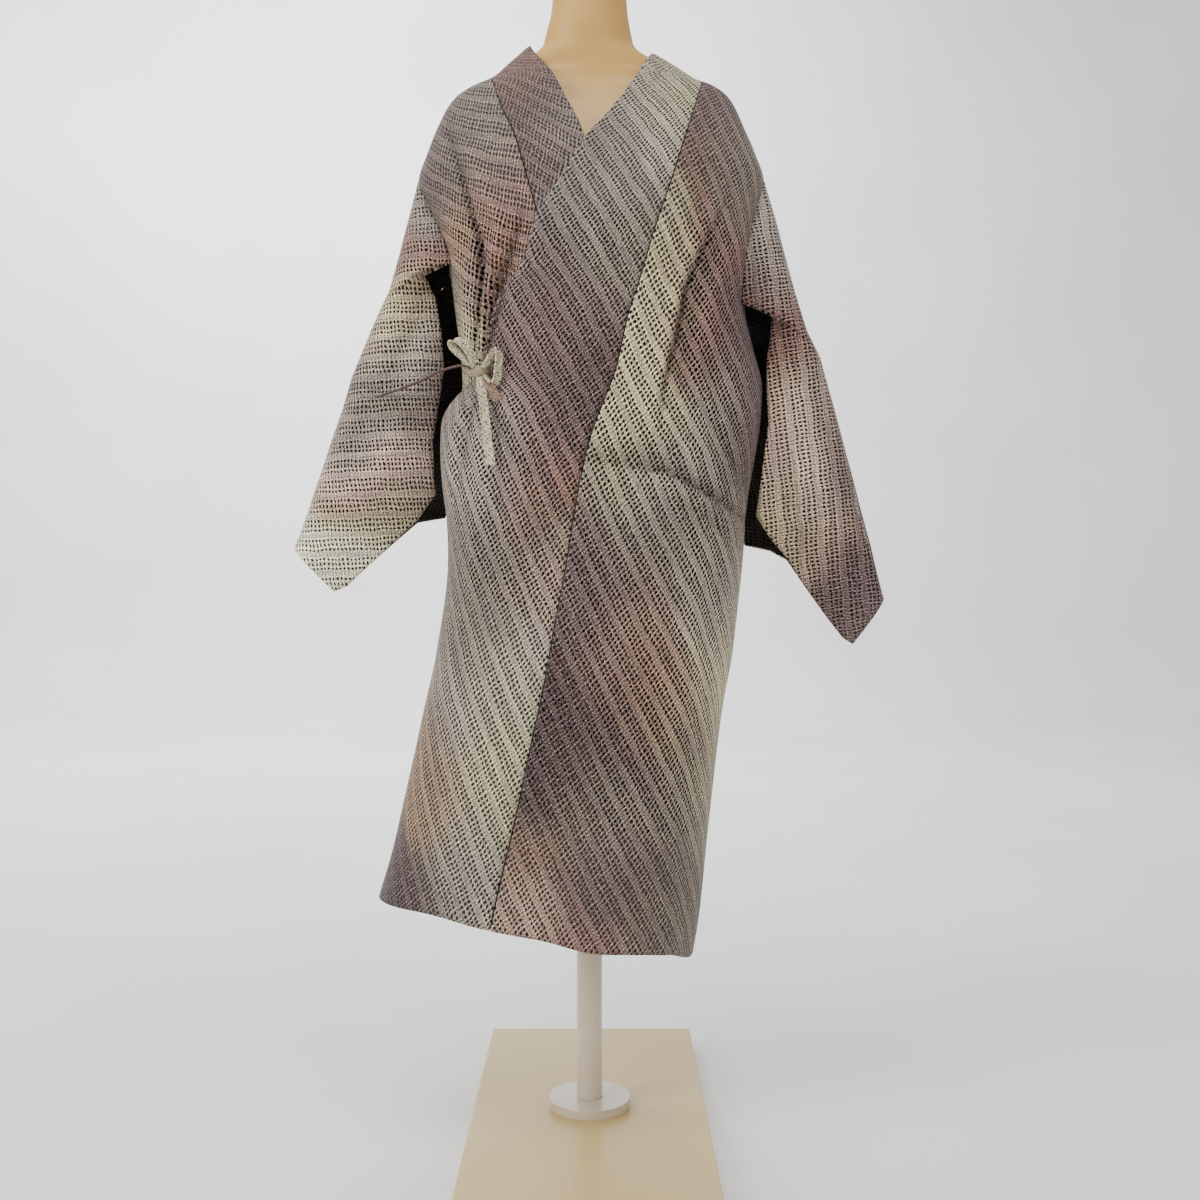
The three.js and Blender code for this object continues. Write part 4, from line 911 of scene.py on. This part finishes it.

# %% [markdown]
# The cloth is an open lattice: three rows of small square holes, then a closed stripe, all in slightly slubbed
# yarn. Cutting tens of thousands of holes in the mesh would be slow and would gain nothing at this distance, so
# the material leaves them out of the surface: its alpha is zero inside a hole. Near the edges, behind, high on the
# form and at the sleeves' back and tip the holes are painted near-black instead, as painted shadow. Yarn relief is
# bump, and the dye clouds carried by each point, with their painted fold shade, are broken up into streaks that
# follow the weft.


# %% Short names for material nodes
class Nodes:
    """Short names for building a material from nodes."""

    def __init__(self, name):
        self.material = bpy.data.materials.new(name)
        self.material.use_nodes = True
        self.tree = self.material.node_tree

    def feed(self, socket, value):
        """A number or a colour is set on the socket itself, and another node's output is linked to it."""
        if isinstance(value, (int, float)):
            socket.default_value = value
        elif isinstance(value, tuple):
            socket.default_value = value if socket.type == "VECTOR" else (*value, 1.0)
        else:
            self.tree.links.new(value, socket)

    def node(self, kind, inputs, output=0, **settings):
        node = self.tree.nodes.new(kind)
        for key, value in settings.items():
            setattr(node, key, value)
        for key, value in inputs.items():
            self.feed(node.inputs[key], value)
        return node.outputs[output]

    def math(self, operation, *values):
        return self.node("ShaderNodeMath", dict(enumerate(values)), operation=operation)

    def times(self, a, b):
        return self.math("MULTIPLY", a, b)

    def plus(self, a, b):
        return self.math("ADD", a, b)

    def noise(self, vector, scale, detail=2.0, rough=0.5, output="Fac"):
        inputs = {"Vector": vector, "Scale": scale, "Detail": detail, "Roughness": rough}
        return self.node("ShaderNodeTexNoise", inputs, output)

    def stretch(self, vector, x, y):
        return self.node("ShaderNodeMapping", {"Vector": vector, "Scale": (x, y, 1.0)})

    def ramp(self, value, low, high, new_low=0.0, new_high=1.0):
        inputs = {"Value": value, "From Min": low, "From Max": high, "To Min": new_low, "To Max": new_high}
        return self.node("ShaderNodeMapRange", inputs, interpolation_type="SMOOTHSTEP")

    def mix(self, factor, a, b, blend="MIX"):
        return self.node("ShaderNodeMix", {0: factor, 6: a, 7: b}, 2, data_type="RGBA", blend_type=blend)

    def bump(self, height, strength, distance):
        return self.node("ShaderNodeBump", {"Strength": strength, "Distance": distance, "Height": height})

    def surface(self, values):
        """Feed the material's own shader."""
        for key, value in values.items():
            self.feed(self.tree.nodes["Principled BSDF"].inputs[key], value)
        return self.material


# %% Weave material
BAND, ROW, HOLE = 0.021, 0.0051, 0.0043  # metres: one band of holes and stripe, one row, one hole's step
HOLE_WIDE, HOLE_TALL = 0.285, 0.35  # shares of a step and of a row
STITCH, RIB = 0.0031, 0.0035
WANDER_SCALE, WANDER = 52.0, (0.0060, 0.0058, 0.0)


def weave_material(name, shade_all, opening=1.0):
    n = Nodes(name)
    uv = n.node("ShaderNodeUVMap", {}, uv_map="Cloth")
    drift = n.node("ShaderNodeVectorMath", {0: n.noise(uv, WANDER_SCALE, output="Color"), 1: (0.5, 0.5, 0.5)},
                   operation="SUBTRACT")
    pulled = n.node("ShaderNodeVectorMath", {0: drift, 1: WANDER, 2: uv}, operation="MULTIPLY_ADD")
    along, across = (n.node("ShaderNodeSeparateXYZ", {0: pulled}, axis) for axis in (0, 1))

    # Three rows of oval holes, then a closed stripe.
    row_place = n.times(n.math("FRACT", n.math("DIVIDE", across, BAND)), BAND / ROW)
    row_local = n.math("SUBTRACT", n.math("FRACT", row_place), 0.5)
    hole_local = n.math("SUBTRACT", n.math("FRACT", n.math("DIVIDE", along, HOLE)), 0.5)
    wide = n.math("DIVIDE", hole_local, HOLE_WIDE * opening)
    tall = n.math("DIVIDE", row_local, HOLE_TALL * opening)
    far = n.math("SQRT", n.plus(n.times(wide, wide), n.times(tall, tall)))
    lattice = n.math("LESS_THAN", n.math("FLOOR", row_place), 2.5)
    lumpy = n.plus(far, n.times(n.math("SUBTRACT", n.noise(uv, 900.0, 1.0), 0.5), 0.45))
    hole = n.times(n.ramp(lumpy, 0.82, 1.02, 1.0, 0.0), lattice)
    # Holes open only where the hem attribute is large; the others stay painted near-black, as painted shadow.
    hem = n.node("ShaderNodeAttribute", {}, "Fac", attribute_name="hem")
    open_here = n.ramp(n.plus(hem, n.times(n.noise(uv, 160.0, 1.0), 5.4)), 3.6, 5.2)

    # Dye clouds with their painted fold shade and highlight, slightly streaked along the bands, then yarn by yarn.
    dye = n.node("ShaderNodeAttribute", {}, "Color", attribute_name="dye")
    streak = n.ramp(n.noise(n.stretch(uv, 14.0, 150.0), 1.0), 0.36, 0.66)
    body = n.mix(1.0, dye, n.mix(streak, (0.80, 0.76, 0.82), (1.22, 1.20, 1.12)), "MULTIPLY")
    twill = n.math("SINE", n.times(n.plus(along, n.times(across, 0.8)), 2 * math.pi / STITCH))
    rib = n.math("SINE", n.times(across, 2 * math.pi / RIB))
    stitch = n.times(twill, rib)
    speck = n.noise(n.stretch(uv, 620.0, 760.0), 1.0, 1.0, 0.7)
    bright = n.mix(0.28, n.mix(1.0, body, (2.9, 2.85, 2.7), "MULTIPLY"), (1.0, 0.94, 0.78))
    coloured = n.mix(n.ramp(n.plus(n.times(stitch, 0.16), speck), 0.46, 0.68), body, bright)
    dark = n.noise(n.stretch(uv, 520.0, 640.0), 1.6, 1.0, 0.7)
    shadow = n.mix(1.0, body, (0.20, 0.16, 0.18), "MULTIPLY")
    coloured = n.mix(n.ramp(dark, 0.47, 0.62), coloured, shadow)
    # Holes that are not open are painted near-black: painted shadow of the dark behind them.
    hole_shadow = n.times(n.ramp(lumpy, 0.72, 1.0, 1.0, 0.0), lattice)
    coloured = n.mix(hole_shadow, coloured, (0.016, 0.011, 0.012))
    closed = n.times(n.math("SUBTRACT", 1.0, lattice), n.ramp(stitch, -0.6, 0.6, 0.30, 0.78))
    shade = n.math("MAXIMUM", n.ramp(lumpy, 0.95, 1.45, 0.35, 1.05), closed)
    shade = n.times(n.times(shade, n.ramp(rib, -1.0, 1.0, 0.78, 1.10)), shade_all)

    height = n.plus(n.times(n.ramp(lumpy, 0.85, 1.3), 0.42), n.times(speck, 0.6))
    height = n.plus(height, n.times(stitch, 0.22))
    return n.surface({
        "Alpha": n.math("SUBTRACT", 1.0, n.times(hole, open_here)),
        "Base Color": n.mix(1.0, coloured, shade, "MULTIPLY"), "Normal": n.bump(height, 0.6, 0.0006),
        "Roughness": n.ramp(speck, 0.3, 0.7, 0.60, 0.86), "Sheen Weight": 0.08, "Sheen Roughness": 0.5,
        "Specular IOR Level": 0.3,
    })


weave = weave_material("space dyed lattice weave", 0.93, 1.08)
weave_slack = weave_material("lattice weave hanging slack", 0.88, 0.92)
# The inside shell of every coat piece has the same weave at a tenth of its brightness: painted shadow for the dark
# hollow within the coat and its sleeves.
weave_inside_in_painted_shadow = weave_material("inside of the weave in painted shadow", 0.10)
for kind, (piece, _) in coat.items():
    piece.data.materials.append(weave_slack if kind.startswith("sleeve") else weave)
    piece.data.materials.append(weave_inside_in_painted_shadow)
print("weave: bands of", BAND, "m, holes every", HOLE, "m")

# %% [markdown]
# The ribbon is the same yarn pressed closed, so it has the streaks and flecks without the holes. The form is a
# painted shell with a soft gloss, and the board under it is polished: both get slight unevenness in colour and
# roughness, because a perfectly even surface reads as plastic film.


# %% Ribbon, form and board materials
def ribbon_material(name, base, fleck):
    n = Nodes(name)
    uv = n.node("ShaderNodeUVMap", {}, uv_map="Cloth")
    slub = n.noise(n.stretch(uv, 460.0, 400.0), 1.0, 1.0, 0.7)
    cloud = n.ramp(n.noise(n.stretch(uv, 60.0, 45.0), 1.0), 0.35, 0.65)
    tinted = n.mix(cloud, base, tuple(0.72 * c for c in base))
    return n.surface({
        "Base Color": n.mix(n.ramp(slub, 0.47, 0.60, 0.0, 0.95), tinted, fleck),
        "Normal": n.bump(slub, 0.5, 0.0005), "Roughness": n.ramp(slub, 0.3, 0.7, 0.65, 0.9),
    })


def painted_material(name, base, rough, coat_weight, patch=7.0, gloss=0.5):
    n = Nodes(name)
    place = n.node("ShaderNodeTexCoord", {}, "Object")
    cloud = n.noise(place, patch, 3.0)
    return n.surface({
        "Base Color": n.mix(n.ramp(cloud, 0.3, 0.7), base, tuple(c * 0.93 for c in base)),
        "Roughness": n.ramp(cloud, 0.3, 0.7, rough, rough + 0.1),
        "Normal": n.bump(n.noise(place, 420.0), 0.08, 0.0004),
        "Specular IOR Level": gloss, "Coat Weight": coat_weight, "Coat Roughness": 0.08,
    })


# %% Dyes and paints on their pieces
# Name: colour, colour of the flecks, and the runs that it is on.
RIBBON_DYES = {
    "sage ribbon": ((0.70, 0.64, 0.42), (0.11, 0.08, 0.06), ("tie_loop_upper", "tie_loop_side", "tie_tail_long")),
    "mauve ribbon": ((0.085, 0.045, 0.045), (0.17, 0.105, 0.09), ("tie_tail_side",)),
    "pink ribbon": ((0.38, 0.23, 0.15), (0.10, 0.06, 0.045), ("tie_end_short",)),
    "knotted ribbon": ((0.36, 0.29, 0.20), (0.09, 0.06, 0.05), ("tie_knot",)),
}
for name, (base, fleck, runs) in RIBBON_DYES.items():
    dyed = ribbon_material(name, base, fleck)
    for run in runs:
        (knot if run == "tie_knot" else ribbons[run][0]).data.materials.append(dyed)

form_paint = painted_material("cream form paint", (0.54, 0.31, 0.070), 0.42, 0.04)
pole_paint = painted_material("cream pole paint", (0.62, 0.52, 0.40), 0.3, 0.3)
board_finish = painted_material("polished cream board", (0.60, 0.43, 0.175), 0.24, 0.0, patch=3.0, gloss=0.25)
torso.data.materials.append(form_paint)
NODE_FINISHES = {
    "form_cap": form_paint, "form_pole": pole_paint, "pole_flange": pole_paint, "base_board": board_finish,
}
for name, finish in NODE_FINISHES.items():
    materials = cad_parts[name].data.materials
    materials.clear()
    materials.append(finish)
print("materials:", len(bpy.data.materials))

# %% [markdown]
# The photograph was taken straight on, level with the middle of the coat, with a short lens. The floor is pale and
# runs up into a pale wall. Large soft lamps above, at the left and in front give the even light, and one more lights
# the wall. The lamps are far larger than the knot or a fold, so that their shadows have soft edges.

# %% Floor and backdrop
FLOOR_WIDE, FLOOR_FRONT, FLOOR_LONG, WALL_BEND, ALL_LONG = 14.0, -4.0, 8.0, 0.5, 13.0


def backdrop():
    bm = bmesh.new()
    bmesh.ops.create_grid(bm, x_segments=1, y_segments=60, size=1.0)
    arc = WALL_BEND * math.pi / 2
    for vert in bm.verts:
        run = (vert.co.y + 1) / 2 * ALL_LONG
        bent = min(max(run - FLOOR_LONG, 0.0), arc) / WALL_BEND
        y = FLOOR_FRONT + min(run, FLOOR_LONG) + WALL_BEND * math.sin(bent)
        z = WALL_BEND * (1 - math.cos(bent)) + max(run - FLOOR_LONG - arc, 0.0)
        vert.co = Vector((vert.co.x * FLOOR_WIDE / 2, y, z - 0.0008))
    piece = finish_mesh("studio_backdrop", bm)
    piece.data.materials.append(painted_material("pale backdrop", (0.86, 0.87, 0.865), 0.6, 0.0, patch=1.5))


backdrop()
print("floor:", FLOOR_WIDE, "m wide")


# %% Lamps and air
COAT_MIDDLE = (0.0, 0.0, 0.7)


def soft_lamp(name, place, aim, size, watts):
    lamp = bpy.data.lights.new(name, "AREA")
    lamp.shape = "RECTANGLE"
    lamp.size, lamp.size_y = size
    lamp.energy = watts
    holder = bpy.data.objects.new(name, lamp)
    holder.location = place
    holder.rotation_euler = (Vector(aim) - Vector(place)).to_track_quat("-Z", "Y").to_euler()
    bpy.context.scene.collection.objects.link(holder)


soft_lamp("lamp above", (-0.3, -0.8, 2.9), COAT_MIDDLE, (1.6, 1.2), 40)
soft_lamp("lamp left", (-2.5, -1.5, 1.8), COAT_MIDDLE, (1.2, 1.6), 58)
soft_lamp("lamp front right", (1.9, -2.5, 1.5), COAT_MIDDLE, (1.6, 1.8), 20)
soft_lamp("lamp on the wall", (-1.4, 2.2, 3.4), (-1.2, 4.5, 1.2), (3.6, 1.0), 240)
print("lamps:", len(bpy.data.lights))

world = bpy.data.worlds.new("studio air")
bpy.context.scene.world = world
world.use_nodes = True
sky = world.node_tree.nodes["Background"].inputs
sky[0].default_value, sky[1].default_value = (1.0, 0.995, 0.97, 1.0), 0.64

# %% Camera
EYE_AT, EYE_DOWN, LENS = (0.0116, -1.437, 0.598), 0.53, 39.0  # metres, degrees, mm
eye = bpy.data.cameras.new("camera")
eye.lens = LENS
eye.sensor_width = 36.0
camera = bpy.data.objects.new("camera", eye)
camera.location = EYE_AT
camera.rotation_euler = (math.radians(90 - EYE_DOWN), 0.0, 0.0)
bpy.context.scene.collection.objects.link(camera)
bpy.context.scene.camera = camera
print("camera:", EYE_AT)
